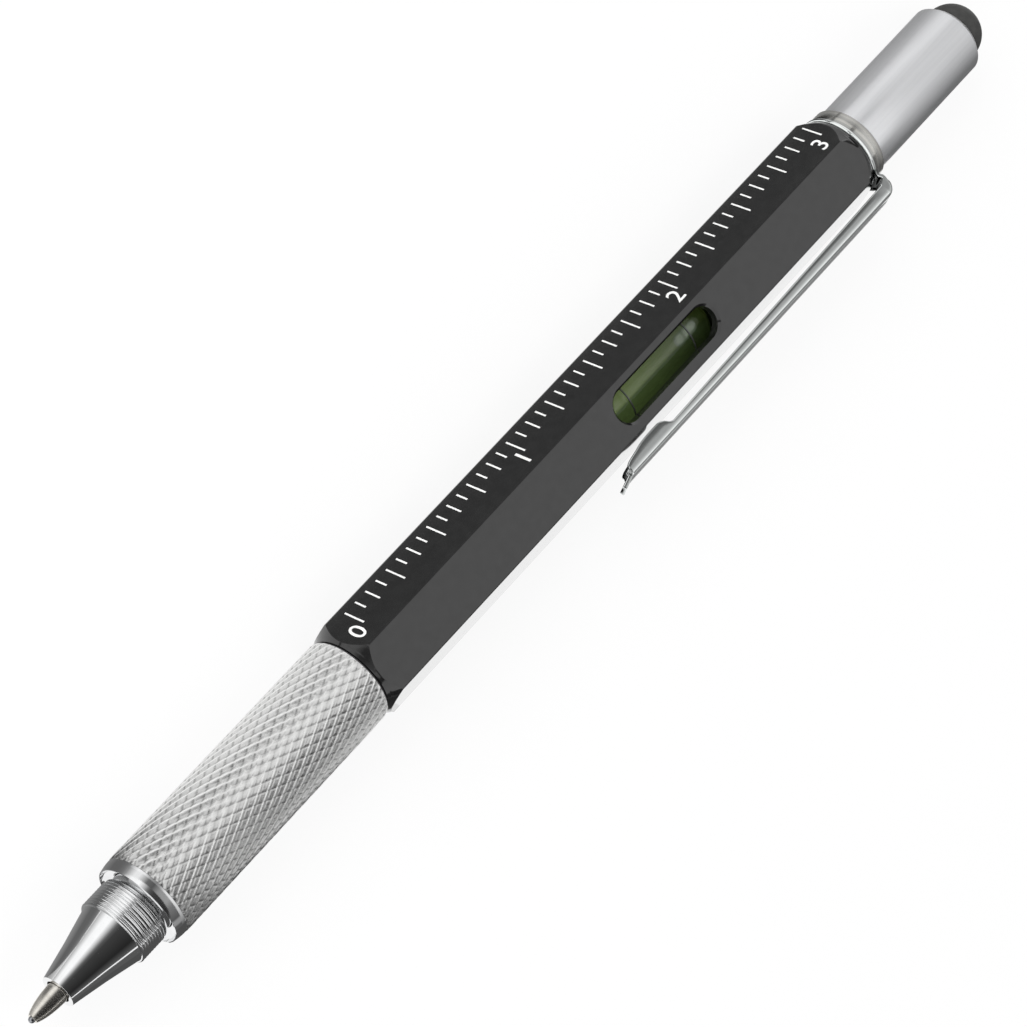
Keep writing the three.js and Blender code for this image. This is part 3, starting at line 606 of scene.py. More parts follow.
def even_triangles(mesh):
    """Leaves no sliver where the window's outline meets the barrel's lengthwise edges."""
    cut = bmesh.new()
    cut.from_mesh(mesh)
    bmesh.ops.dissolve_degenerate(cut, dist=micron, edges=cut.edges)
    many_sided = [face for face in cut.faces if len(face.verts) > 4]
    bmesh.ops.triangulate(cut, faces=many_sided, quad_method="BEAUTY", ngon_method="BEAUTY")
    cut.to_mesh(mesh)
    cut.free()


def shade_window_flat(mesh):
    """The slim faces round the window keep their own direction, so that they catch no stray light."""
    border = 2 * window_edge
    for face in mesh.polygons:
        x, y, z = face.center
        beside = abs(x - window_middle) < window_length / 2 + border and abs(y) < window_width / 2 + border
        if beside and z > axis_height or face.normal.z > level_enough:
            face.use_smooth = False


# Scales, printed on the face beside the level's window and on the face beyond it

inch = 25.4 * mm
centimetre = 10 * mm
inches = 3
centimetres = 7
ruler_inset = 3.43 * mm
ruler_start = barrel_low.x + ruler_inset
inch_tick_width = 0.2 * mm
metric_tick_width = 0.16 * mm
tick_margin = 0.88 * mm
short_tick = 1.4 * mm
medium_tick = 1.9 * mm
long_tick = 2.5 * mm
print_height = 0.012 * mm
digit_height = 2.0 * mm
digit_weight_share = 0.006
digit_steps = 6
digit_places = (3.61 * mm, 3.81 * mm, 3.89 * mm, 4.12 * mm)  # from the face's outer edge
digit_lags = (1.25 * mm, 0.87 * mm, 1.0 * mm, 1.32 * mm)  # from the tick that the digit names
metric_digit_place = 3.78 * mm
metric_digit_lag = 1.08 * mm


class Face:
    """One face of the hexagon, as a sheet to print on: along the pen, across the face and out of it."""

    def __init__(self, normal_degrees, across_sign):
        angle = math.radians(normal_degrees)
        self.out = Vector((0, math.cos(angle), math.sin(angle)))
        self.across = Vector((0, -math.sin(angle), math.cos(angle))) * across_sign
        self.up = self.out.cross(Vector((1, 0, 0)))
        centre = Vector((0, 0, axis_height)) + self.out * apothem
        self.edge = centre - self.across * (corner_reach / 2)

    def point(self, x, across, height):
        return self.edge + Vector((x, 0, 0)) + self.across * across + self.out * height


def print_ticks(name, face, ticks):
    """Thin raised bars on a face. Each tick is (place along, width, length)."""
    points = []
    faces = []
    for x, width, length in ticks:
        first = len(points)
        for height in (-print_height, print_height):
            for dx, dy in ((-0.5, 0), (0.5, 0), (0.5, 1), (-0.5, 1)):
                points.append(face.point(x + dx * width, tick_margin + dy * length, height))
        bottom = tuple(first + k for k in (3, 2, 1, 0))
        top = tuple(first + k for k in (4, 5, 6, 7))
        faces += [bottom, top, *bands(2, 4, first=first)]
    piece = add_object(name, points, faces, print_white, 20)
    return place(piece, "barrel", slot="ruler_print")


def print_digit(name, face, text, x, across):
    """A printed digit, upright with the pen's writing end at the left."""
    curve = bpy.data.curves.new(name, "FONT")
    curve.body = text
    curve.align_x = "CENTER"
    curve.align_y = "CENTER"
    curve.size = digit_height * 1.42
    curve.offset = digit_weight_share * digit_height
    curve.extrude = print_height
    curve.resolution_u = digit_steps
    holder = new_object(name, curve)
    mesh = final_mesh(holder)
    bpy.data.objects.remove(holder)
    low = Vector((min(v.co[i] for v in mesh.vertices) for i in range(3)))
    high = Vector((max(v.co[i] for v in mesh.vertices) for i in range(3)))
    middle = (low + high) / 2
    scale = digit_height / (high.y - low.y)
    for v in mesh.vertices:
        right_by, up_by = ((v.co[i] - middle[i]) * scale for i in range(2))
        v.co = face.point(x + right_by, across, v.co.z) + face.up * up_by
    mesh.materials.clear()
    mesh.materials.append(print_white)
    mesh.shade_flat()
    return place(new_object(name, mesh), "barrel", slot="ruler_print")


def print_scale(name, face, step, count, longs, mediums, width, digits):
    """Count ticks of one step each, longer at every so many, and digits as (place along, place across)."""
    ticks = []
    for k in range(count + 1):
        length = long_tick if k % longs == 0 else medium_tick if k % mediums == 0 else short_tick
        ticks.append((ruler_start + k * step, width, length))
    print_ticks(f"{name}_ticks", face, ticks)
    for k, (x, across) in enumerate(digits):
        print_digit(f"{name}_digit_{k}", face, str(k), x, across)


def make_ruler():
    places = enumerate(zip(digit_places, digit_lags))
    digits = [(ruler_start + k * inch - lag, across) for k, (across, lag) in places]
    print_scale("inch", Face(30, 1), inch / 16, inches * 16, 4, 2, inch_tick_width, digits)


def make_metric_ruler():
    """A millimetre scale on the face beyond the ruler's outer edge, which the photograph doesn't show."""
    first = ruler_start - metric_digit_lag
    digits = [(first + k * centimetre, metric_digit_place) for k in range(centimetres + 1)]
    print_scale("metric", Face(-30, -1), mm, centimetres * 10, 10, 5, metric_tick_width, digits)


# Knurled grip

grip_low, grip_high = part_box("grip_sleeve")
grip_radius = (grip_high.y - grip_low.y) / 2
grip_bore = 4.2 * mm
grip_end_step = 0.12 * mm
knurl_starts = 32
knurl_angle = math.radians(25)
knurl_depth = 0.2 * mm
samples_per_ridge = 12
knurl_fade = 0.25 * mm
cross_cut_share = 0.24
crest_highlight_share = 0.3
turn_of_rows = math.radians(-36)  # where round the grip the rows change from one winding to the other


def ridge(turns):
    """A sharp ridge once per turn: 1 at its crest and 0 in its groove."""
    return 1 - abs(2 * (turns % 1.0) - 1)


def rows_of_ridges(main, cross):
    """Height of one set of ridges with the fine cuts of the other set between them, and their painted light:
    painted highlights on the crests and painted shade in the cuts.
    """
    crest = ridge(main)
    notch = max(0.0, 1 - ridge(cross) / cross_cut_share)
    height = min(1.0, 1.15 * crest) - 0.35 * notch * (1 - 0.5 * crest)
    crest_highlight = smooth_step((crest - 1 + crest_highlight_share) / crest_highlight_share)
    painted_light = mix(0.62 + 0.12 * crest, 1, crest_highlight)
    return height, painted_light * (1 - 0.72 * notch * (1 - crest_highlight))


def knurl(along, angle):
    """Height and painted light of the crossed ridges. Painted highlights pick out one winding on each side of
    the grip.
    """
    wind = math.tan(knurl_angle) / grip_radius * along
    one = knurl_starts * (angle + wind) / full_turn
    two = knurl_starts * (angle - wind) / full_turn
    share = smooth_step(0.5 + 1.2 * math.cos(angle - turn_of_rows))
    height_one, tone_one = rows_of_ridges(one, two)
    height_two, tone_two = rows_of_ridges(two, one)
    return mix(height_one, height_two, share), mix(tone_one, tone_two, share)


def make_grip():
    columns = knurl_starts * samples_per_ridge
    pitch = full_turn * grip_radius / knurl_starts / math.tan(knurl_angle)
    length = grip_high.x - grip_low.x
    rows = round(length / (pitch / samples_per_ridge))
    points = []
    painted_lights = []
    for i in range(rows + 1):
        along = length * i / rows
        fade = min(1.0, min(along, length - along) / knurl_fade)
        for k in range(columns):
            angle = full_turn * k / columns
            height, painted_light = knurl(along, angle)
            r = grip_radius - knurl_depth * (1 - height) * fade - grip_end_step * (1 - fade)
            points.append((grip_low.x + along, r * math.cos(angle), axis_height + r * math.sin(angle)))
            painted_lights.append(painted_light)
    for x in (grip_high.x, grip_low.x):
        points += circle(x, grip_bore, columns)
        painted_lights += [0.5] * columns
    grip = add_object("grip_knurled", points, bands(rows + 3, columns, closed=True), knurl_painted_light, 50)
    # The grip carries its painted highlights and painted shade as the number named ridge
    carry(grip.data, "ridge", painted_lights)
    return place(grip, "grip", "grip_sleeve", slot="grip_aluminium")


# Clip
# One bent strip: a ring under the tail collar, a leg, a rounded bend that bulges behind the ring, a long arm
# with side walls that grow shallower towards the front, a wing on each wall, and a short rising tongue.

clip_out = Vector((0, -math.cos(math.radians(30)), math.sin(math.radians(30))))
clip_across = Vector((0, -math.sin(math.radians(30)), -math.cos(math.radians(30))))
ring_low, ring_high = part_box("clip_ring")
clip_sheet = ring_high.x - ring_low.x
bent_sheet = clip_sheet * 1.04
clip_ring_radius = 4.75 * mm
clip_ring_bore = 3.45 * mm
clip_ring_segments = 96
clip_top = 7.12 * mm
clip_root_wall = 1.4 * mm
clip_front_wall = 0.78 * mm
clip_half_width = 1.5 * mm
clip_shoulder = 0.58 * mm
clip_lip = 0.1 * mm
clip_bend = 1.45 * mm
clip_bulge = 0.5 * mm
clip_bend_angle = math.radians(118)
bend_closing_share = 0.74
bend_closed_share = 0.98
clip_root_flare = 0.75 * mm
leg_end_drop = 0.3 * mm
leg_knee = (0.07 * mm, 0.05 * mm)
clip_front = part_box("clip_arm")[0].x
wing_length = 7.6 * mm
wing_height = 1.77 * mm
wing_run_out = 0.4 * mm
tongue_length = 1.45 * mm
tongue_half_width = 0.9 * mm
tongue_rise = 0.4 * mm
tongue_shares = (0, 0.04, 0.25, 0.5, 0.75, 0.96)
arm_front = clip_front + tongue_length
arm_round = 0.22 * mm
arm_round_growth = 0.04 * mm
arm_round_steps = 5
wing_steps = 56
arm_steps = 8
bend_steps = 24
leg_steps = 8
lip_steps = 3
thin_edge = 0.12 * mm
# Painted light on the steel: painted shade on its inside, a painted reflection on its walls, and painted
# highlights on its lips and over its shoulders from wall to top
inside_painted_shade = 0.10
wall_painted_reflection = 0.32
lip_painted_highlight = 0.9
shoulder_painted_highlights = (0.34, 0.42, 0.66, 0.95, 0.85, 0.56, 0.36)
# The wing's lower edge from its front to its rear: shares of its length and of its depth
wing_edge_shares = ((0, 0.05), (0.04, 0.28), (0.1, 0.47), (0.27, 0.7), (0.46, 0.94))
wing_edge_shares += ((0.63, 1), (0.8, 1), (0.9, 0.7), (0.955, 0.2), (1, 0))


def curve_through(points, x):
    """Height at x of a smooth curve through the points that never swings past them."""
    count = len(points)
    secants = [(b[1] - a[1]) / (b[0] - a[0]) for a, b in zip(points, points[1:])]
    slopes = [secants[0]]
    for before, after in zip(secants, secants[1:]):
        level = before * after <= 0
        slopes.append(0 if level else 2 * before * after / (before + after))
    slopes.append(secants[-1])
    i = max(k for k in range(count - 1) if k == 0 or points[k][0] <= x)
    width = points[i + 1][0] - points[i][0]
    t = min(1.0, max(0.0, (x - points[i][0]) / width))
    swing = slopes[i] * (1 - t) - slopes[i + 1] * t
    return mix(points[i][1], points[i + 1][1], smooth_step(t)) + swing * width * t * (1 - t)


def clip_wall(x, bend_x):
    """Depth of the side walls below the arm's top, from the front of the arm to its bend."""
    wing_rear = arm_front + wing_length
    if x < wing_rear:
        down = curve_through(wing_edge_shares, (x - arm_front) / wing_length)
        return mix(clip_front_wall, wing_height, down)
    return mix(clip_front_wall, clip_root_wall, (x - wing_rear) / (bend_x - wing_rear))


def clip_stations():
    """Places along the strip: x, height of the outer side, direction, wall depth, half width, edge radius."""
    slant = -math.atan(tongue_rise / tongue_length)
    stations = []
    for share in tongue_shares:
        x = clip_front + tongue_length * share
        width = tongue_half_width - (thin_edge if share == 0 else 0)
        stations.append((x, clip_top + tongue_rise * (1 - share), slant, bent_sheet, width, thin_edge))
    for share in shares_of(arm_round_steps):
        swell = math.sin(share * quarter_turn)
        width = mix(tongue_half_width, clip_half_width, swell)
        depth = clip_front_wall + arm_round_growth * share
        edge = mix(thin_edge, clip_shoulder, swell)
        stations.append((arm_front + arm_round * share, clip_top, 0.0, depth, width, edge))
    bend_x = ring_high.x + clip_bulge - clip_bend
    wing_end = arm_front + wing_length + wing_run_out
    runs = ((arm_front + arm_round, wing_end, wing_steps), (wing_end, bend_x, arm_steps))
    for start, end, steps in runs:
        for share in shares_of(steps)[1:]:
            x = mix(start, end, share)
            stations.append((x, clip_top, 0.0, clip_wall(x, bend_x), clip_half_width, clip_shoulder))
    for share in shares_of(bend_steps)[1:]:
        angle = clip_bend_angle * share
        x = bend_x + clip_bend * math.sin(angle)
        height = clip_top - clip_bend + clip_bend * math.cos(angle)
        closing = smooth_step((share - bend_closing_share) / (bend_closed_share - bend_closing_share))
        depth = mix(clip_root_wall, bent_sheet, closing)
        edge = mix(clip_shoulder, thin_edge, closing)
        stations.append((x, height, -angle, depth, clip_half_width, edge))
    start = Vector((x, height))
    knee = Vector((ring_high.x + leg_knee[0], clip_ring_radius - leg_knee[1]))
    end = Vector((ring_high.x, clip_ring_radius - leg_end_drop))
    for share in shares_of(leg_steps)[1:]:
        spot = bow(start, knee, end, share)
        angle = mix(clip_bend_angle, quarter_turn, share)
        width = clip_half_width + clip_root_flare * share**2.5
        stations.append((spot.x, spot.y, -angle, bent_sheet, width, thin_edge))
    return stations


def clip_section(depth, half_width, edge):
    """The strip's section as (across, depth, painted light) points, round its outside and back round its
    inside.
    """
    inner_edge = max(thin_edge, edge - clip_sheet)
    angles = [quarter_turn * share for share in shares_of(lip_steps)]
    outer = []
    for angle in angles:
        across = -half_width + clip_lip * (1 - math.sin(angle))
        outer.append((across, depth - clip_lip * (1 - math.cos(angle)), lip_painted_highlight))
    outer.append((-half_width, depth - 1.6 * clip_lip, wall_painted_reflection))
    for share, painted_light in zip(shares_of(len(shoulder_painted_highlights) - 1), shoulder_painted_highlights):
        angle = quarter_turn * share
        outer.append((-half_width + edge * (1 - math.cos(angle)), edge * (1 - math.sin(angle)), painted_light))
    outer += [(-a, d, painted_light) for a, d, painted_light in reversed(outer)]
    wall = half_width - clip_sheet
    inner = [(wall + clip_lip, depth, inside_painted_shade), (wall, depth - clip_lip, inside_painted_shade)]
    under = min(clip_sheet, depth - 2 * clip_lip)
    rise = min(inner_edge, max(0.0, depth - clip_lip - under))
    for angle in angles:
        across = wall - inner_edge * (1 - math.cos(angle))
        inner.append((across, under + rise * (1 - math.sin(angle)), inside_painted_shade))
    inner += [(-a, d, painted_light) for a, d, painted_light in reversed(inner)]
    return outer + inner


def make_clip():
    stations = clip_stations()
    points = []
    painted_lights = []
    for x, height, slope, depth, half_width, edge in stations:
        section = clip_section(depth, half_width, edge)
        inward = Vector((math.sin(slope), 0, 0)) - clip_out * math.cos(slope)
        start = Vector((x, 0, axis_height)) + clip_out * height
        points += [start + clip_across * across + inward * down for across, down, painted_light in section]
        painted_lights += [painted_light for across, down, painted_light in section]
    base = len(points)
    count = base // len(stations)
    faces = [tuple(range(count)), tuple(range(base - 1, base - 1 - count, -1))]
    faces += bands(len(stations), count)
    front, rear = ring_low.x, ring_high.x
    corners = [
        (front, clip_ring_bore),
        (front, clip_ring_radius),
        (rear, clip_ring_radius),
        (rear, clip_ring_bore),
    ]
    ring = rounded(corners, thin_edge, True)
    for x, r in ring:
        points += circle(x, r, clip_ring_segments)
    # The ring takes the lips' painted highlight
    painted_lights += [lip_painted_highlight] * (len(points) - base)
    faces += bands(len(ring), clip_ring_segments, closed=True, first=base)
    clip = add_object("clip_strip", points, faces, clip_painted_light, 40)
    # The strip carries its painted highlights and painted shade as numbers that its material turns into
    # colour
    carry(clip.data, "painted_light", painted_lights)
    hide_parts("clip_ring", "clip_arm")
    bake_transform(clip)
    return clip


# Nose, collar, refill and the twist mechanism inside

band_ridges = 9
band_samples = 8
band_ridge_depth = 0.15 * mm
neck_radius = 3.45 * mm
neck_ring_gap = 0.16 * mm
neck_ring_width = 0.16 * mm
neck_ring_radius = 3.74 * mm
collar_lip_radius = 4.7 * mm
collar_lip_width = 0.1 * mm
collar_dish_depth = 0.8 * mm
collar_length = 1.3 * mm
collar_steps = 12
same_place = 0.01 * mm
tip_mouth = 0.35 * mm
tip_inset = 0.05 * mm
tip_lip = 0.45 * mm
tip_taper = 4.2 * mm
tip_steps = 24
tip_joint = 8.4 * mm
tip_groove = 0.05 * mm
tip_spigot = 0.875 * mm


def band_outline(front, rear, radius):
    """Fine turned ridges from front to rear, each a little unlike the next."""
    points = []
    for i in range(band_ridges * band_samples + 1):
        turn = i / band_samples
        uneven = 0.75 + 0.25 * math.sin(2.4 * math.floor(turn))
        crest = abs(math.sin(half_turn * turn)) ** 0.8
        x = mix(front, rear, turn / band_ridges)
        points.append((x, radius - band_ridge_depth * (1 - crest) * uneven))
    return points


def make_nose():
    profile, closed = cad_profile("nose_cone")
    radius = max(r for x, r in profile)
    on_band = [i for i, (x, r) in enumerate(profile) if r > radius - 1.5 * band_ridge_depth]
    first, last = on_band[0], on_band[-1]
    front, rear = sorted((profile[first][0], profile[last][0]))
    ring_front = rear + neck_ring_gap
    ring_rear = ring_front + neck_ring_width
    band = band_outline(front, rear, radius)
    band += [(rear, neck_radius), (ring_front, neck_radius), (ring_front, neck_ring_radius)]
    band += [(ring_rear, neck_ring_radius), (ring_rear, neck_radius)]
    if profile[first][0] > profile[last][0]:
        band.reverse()
    outline = profile[:first] + band + profile[last + 1 :]
    smooth = rounded(outline, usual_edge, closed, least_turn=math.radians(24))
    nose = revolve("nose_fine", smooth, chrome, 160, sharp_degrees=60)
    return place(nose, "nose", "nose_cone", slot="chrome_trim")


def make_collar():
    """The collar between the grip and the nose: flared to a thin lip, with a deep dish in front."""
    low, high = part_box("grip_collar")
    profile, closed = cad_profile("grip_collar")
    radius = max(r for x, r in profile)
    bore = min(r for x, r in profile)
    spigot = max(r for x, r in profile if abs(x - high.x) < same_place)
    outline = []
    for share in shares_of(collar_steps):
        depth = collar_dish_depth * math.sqrt(1 - share**2)
        outline.append((low.x + depth, mix(bore, collar_lip_radius - collar_lip_width, share)))
    for share in shares_of(collar_steps):
        swell = (radius - collar_lip_radius) * math.sin(share * quarter_turn)
        outline.append((low.x + collar_length * share, collar_lip_radius + swell))
    outline += [(low.x + collar_length, spigot), (high.x, spigot), (high.x, bore)]
    return place(revolve("collar_flared", outline, chrome, 160), "grip", "grip_collar", slot="chrome_trim")


def make_refill():
    low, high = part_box("refill_tip")
    front = low.x - tip_lip
    joint = front + tip_joint
    radius = (high.y - low.y) / 2
    profile = [(low.x + tip_inset, 0), (low.x + tip_inset, tip_mouth)]
    for done in shares_of(tip_steps):
        share = mix(tip_lip / tip_taper, 1, done)
        profile.append((front + tip_taper * share, radius * math.sqrt(1 - (1 - share) ** 2)))
    profile += [(joint - tip_groove, radius), (joint, radius - tip_groove)]
    profile += [(joint, tip_spigot), (high.x, tip_spigot), (high.x, 0)]
    tip = revolve("refill_point", profile, nickel_silver, sharp_degrees=40)
    place(tip, "refill", "refill_tip", slot="nickel_silver")
    ball_low, ball_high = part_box("refill_ball")
    middle = (ball_low.x + ball_high.x) / 2
    outline = arc(middle, 0, (ball_high.x - ball_low.x) / 2, half_turn, 0, 16)
    ball = revolve("writing_ball", on_axis(outline), tool_steel, 48)
    place(ball, "refill", "refill_ball", slot="tool_steel")
    turned_copy("refill_tube", "refill", drawn_metal, "refill_tube_metal", fine_edge)
    turned_copy("ink_column", "refill", ink, "ink", fine_edge)
    dress("refill_plug", black_plastic)


def on_axis(outline):
    """The outline with both its ends set on the pen's axis."""
    return [(outline[0][0], 0), *outline[1:-1], (outline[-1][0], 0)]


def make_mechanism():
    make_collar()
    turned_copy("grip_liner", "grip", brass, "inner_brass")
    turned_copy("guide_retainer", "grip", tool_steel, "tool_steel")
    turned_copy("friction_washer", "front_section", black_plastic, "black_plastic")
    dress("guide_tube", white_plastic)
    dress("refill_carrier", white_plastic)
    dress("cam_sleeve", brass)


# Spirit level

plug_depth = 1.3 * mm
plug_gap = 0.05 * mm
liquid_corner_share = 0.35
liquid_grip = 0.14 * mm  # the liquid wets the bore, so no air shows between them
mark_width = 0.14 * mm
mark_edge = 0.02 * mm
bubble_half_angle = math.radians(13)
bubble_rise = 0.05 * mm
bubble_rings = 10
bubble_segments = 64


def make_level():
    tube_low, tube_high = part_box("vial_tube")
    fluid_low, fluid_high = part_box("vial_fluid")
    bore = (fluid_high.y - fluid_low.y) / 2
    radius = bore + liquid_grip
    turned_copy("vial_tube", "barrel", acrylic, "vial_clear", broad_edge)
    front = tube_low.x + plug_depth
    rear = tube_high.x - plug_depth
    corner = liquid_corner_share * radius
    outline = [(front + plug_gap, 0), (front + plug_gap, radius)]
    outline += arc(rear - plug_gap - corner, radius - corner, corner, quarter_turn, 0, 8)
    outline.append((rear - plug_gap, 0))
    place(revolve("liquid_seen", outline, liquid), "barrel", "vial_fluid", slot="level_liquid")
    make_plug("front", tube_low.x, front, bore, black_plastic)
    # The rear plug's olive is painted green light
    make_plug("rear", rear, tube_high.x, bore, olive_painted_light)
    for end in ("front", "rear"):
        turned_copy(f"vial_seat_{end}", "barrel", seal_rubber, "seal_rubber")
        make_mark(f"vial_mark_{end}")
    make_bubble(radius)


def make_plug(end, front, rear, radius, material):
    """The visible end of a plug: the liquid reaches further over it than over the plain solid."""
    outline = rounded([(front, 0), (front, radius), (rear, radius), (rear, 0)], broad_edge, False)
    piece = revolve(f"{end}_plug", outline, material)
    place(piece, "barrel", f"vial_plug_{end}", slot="black_plastic")


def make_mark(name):
    """A thin ring round the vial."""
    low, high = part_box(name)
    profile, closed = cad_profile(name)
    bore = min(r for x, r in profile)
    radius = max(r for x, r in profile)
    front = (low.x + high.x - mark_width) / 2
    ring = [(front, bore), (front, radius), (front + mark_width, radius), (front + mark_width, bore)]
    piece = revolve(name + "_fine", rounded(ring, mark_edge, True), black_plastic)
    place(piece, "barrel", name, slot="black_plastic")


def make_bubble(radius):
    """The bubble's outline as it lies against the top of the liquid, with round ends."""
    low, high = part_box("vial_bubble")
    reach = radius + bubble_rise
    half_width = reach * bubble_half_angle
    straight = (high.x - low.x) / 2 - half_width
    middle = (low.x + high.x) / 2
    points = [(middle, 0.0, axis_height + reach)]
    rims = [0.0]
    for i in range(1, bubble_rings + 1):
        share = i / bubble_rings
        for k in range(bubble_segments):
            angle = full_turn * k / bubble_segments
            end = straight if math.cos(angle) >= 0 else -straight
            x = middle + (end + half_width * math.cos(angle)) * share
            lean = bubble_half_angle * math.sin(angle) * share
            points.append((x, reach * math.sin(lean), axis_height + reach * math.cos(lean)))
            rims.append(share)
    faces = [(0, 1 + k, 1 + (k + 1) % bubble_segments) for k in range(bubble_segments)]
    faces += bands(bubble_rings, bubble_segments, first=1)
    bubble = add_object("bubble_skin", points, faces, gas)
    carry(bubble.data, "rim", rims)
    place(bubble, "bubble", "vial_bubble", slot="bubble_gas")


# Tail: collar, bit holder, bit and stylus cap

tail_edge = 0.06 * mm
dome_wall = 1.03 * mm


def make_tail():
    turned_copy("tail_collar", "barrel", turned_steel, "chrome_trim", tail_edge, 160)
    turned_copy("bit_grip_ring", "barrel", seal_rubber, "seal_rubber")
    dress("bit_holder", brass)
    dress("screwdriver_bit", tool_steel)
    turned_copy("stylus_sleeve", "cap", satin, "sleeve_aluminium", broad_edge, 160)
    turned_copy("stylus_insert", "cap", brass, "inner_brass")
    low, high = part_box("stylus_dome")
    radius = (high.y - low.y) / 2
    inner = radius - dome_wall
    centre = high.x - radius
    outline = arc(centre, 0, radius, 0, quarter_turn, 28)
    outline += [(low.x, radius), (low.x, inner)]
    outline += arc(centre, 0, inner, quarter_turn, 0, 16)
    dome = revolve("dome_rubber_skin", on_axis(outline), dome_rubber, 128)
    place(dome, "cap", "stylus_dome", slot="dome_rubber")


# Studio
# The lamps and a soft world light the pen. Its gloss shows a white room with a white floor, and dark cards.

floor_half = 1.5
floor_gap = 0.02 * mm  # keeps the barrel's flat and the floor from lying in one plane
ceiling = 0.5
room_side = 0.6
card_lift = 0.4 * mm
upper_card_lift = 0.6 * mm
nose_lean = 0.32  # how far reflections drift along the pen for each step away from it
tail_lean = 0.60
hood_radius = 30 * mm
hood_step = 5
# Lamps that point at the frame's origin: place, width, height, watts
lamps = {
    "key": ((-0.15, 0.45, 0.40), 0.6, 0.35, 2.2),
    "fill": ((0.30, -0.35, 0.60), 0.6, 0.5, 1.4),
    "front": ((-0.60, 0.05, 0.45), 0.4, 0.4, 0.9),
}
# Hoods, each over one part of the pen: both ends, then light and dark strips as (degrees from overhead
# towards the ruler's side, strength)
hoods = {
    "nose": (
        (-120 * mm, -72 * mm),
        ((90, 0.45), (70, 1.05), (50, 1.1), (30, 0.2), (25, 0.1), (15, 0.05), (-35, 0.02))
        + ((-61, 0.1), (-62, 1.1), (-66, 1.1), (-67, 0.1), (-90, 0.1)),
    ),
    "band": (
        (-72 * mm, -65.5 * mm),
        ((90, 0.25), (70, 0.9), (60, 0.9), (40, 0.15), (25, 0.1), (10, 0.3), (-15, 0.35))
        + ((-30, 0.2), (-60, 0.1), (-65, 0.3), (-75, 0.3), (-80, 0.1), (-90, 0.1)),
    ),
    "collar": (
        (-65.5 * mm, -62.2 * mm),
        ((90, 0.4), (70, 1.0), (55, 0.9), (40, 0.35), (25, 0.25))
        + ((15, 0.35), (0, 0.8), (-20, 0.85), (-45, 0.65), (-90, 0.1)),
    ),
    "ring": (
        (57.2 * mm, 58.3 * mm),
        ((90, 0.6), (80, 1.0), (70, 1.0), (55, 0.5), (40, 0.35), (25, 0.5), (10, 0.85))
        + ((-30, 0.8), (-45, 0.2), (-90, 0.05)),
    ),
    "flange": (
        (58.3 * mm, 59.8 * mm),
        ((90, 0.5), (70, 0.85), (40, 0.5), (25, 0.8), (10, 1.4), (-30, 1.55), (-45, 0.95))
        + ((-70, 0.4), (-90, 0.2)),
    ),
    "sleeve": (
        (59.8 * mm, 220 * mm),
        ((90, 0.8), (70, 0.95), (55, 0.9), (40, 0.75), (-20, 0.75), (-90, 0.2)),
    ),
}
# Upright cards round the room: both ends as (x, y), top, strength
upright_cards = {
    "card_beyond_nose": ((-0.6, -room_side), (0.1, -room_side), 0.12, 0.03),
    "card_beyond_clip": ((0.1, -room_side), (1.2, -room_side), 0.5, 0.25),
    "card_beyond_stylus": ((room_side, -0.6), (room_side, 0.2), 0.15, 0.03),
}
# Level cards overhead: both ends in x, height, then strips as (y, strength)
upper_cards = {
    "card_over_nose": ((-0.60, 0.03), ceiling, ((-0.62, 0.012), (0.38, 0.012))),
    "card_over_ruler": ((0.15, 0.9), ceiling, ((0.33, 0.3), (0.48, 0.3))),
}
# Level cards just above the floor, in the same way, and how far each end leans along the pen with y
floor_cards = {
    "floor_card_by_tip": (
        (-300 * mm, -83.5 * mm),
        card_lift,
        ((2 * mm, 0.35), (8 * mm, 0.4), (20 * mm, 0.55), (100 * mm, 0.9), (400 * mm, 0.95)),
    ),
    "floor_card_by_nose": (
        (-83.5 * mm, -71.3 * mm),
        card_lift,
        ((2 * mm, 0.3), (9 * mm, 0.13), (15 * mm, 0.13), (60 * mm, 0.27), (400 * mm, 0.45)),
        (0, nose_lean),
    ),
    "floor_card_by_ruler": ((-40 * mm, 77 * mm), upper_card_lift, ((30 * mm, 0.22), (90 * mm, 0.22))),
    "floor_card_by_ring": (
        (38.5 * mm, 41 * mm),
        card_lift,
        ((2 * mm, 0.03), (12 * mm, 0.05), (22 * mm, 0.15), (100 * mm, 0.5)),
        (tail_lean, tail_lean),
    ),
    "floor_card_by_sleeve": (
        (41 * mm, 300 * mm),
        card_lift,
        ((4 * mm, 0.35), (12 * mm, 0.45), (22 * mm, 0.6), (60 * mm, 0.7), (400 * mm, 0.8)),
        (tail_lean, tail_lean),
    ),
    "floor_card_beyond_nose": ((-600 * mm, -40 * mm), card_lift, ((-400 * mm, 0.08), (-6.5 * mm, 0.08))),
    "floor_card_beyond_sleeve": ((50 * mm, 400 * mm), card_lift, ((-400 * mm, 0.16), (-7.5 * mm, 0.16))),
    "floor_card_by_face": ((-36 * mm, 0), card_lift, ((-12.5 * mm, 1.2), (-8 * mm, 1.2))),
    "floor_card_by_clip": (
        (0, 47 * mm),
        card_lift,
        ((-8 * mm, 1.2), (-11.5 * mm, 1.2), (-11.6 * mm, 0.3), (-15 * mm, 0.35))
        + ((-22 * mm, 0.6), (-80 * mm, 0.95)),
    ),
}


def make_glow():
    material = bpy.data.materials.new("card_glow")
    tree = bare_tree(material)
    carried = add_node(tree, "ShaderNodeAttribute", attribute_name="glow")
    glow = add_node(tree, "ShaderNodeEmission", (*grey(1), 1), carried.outputs["Fac"])
    add_node(tree, "ShaderNodeOutputMaterial", glow.outputs["Emission"])
    return material


card_glow = make_glow()


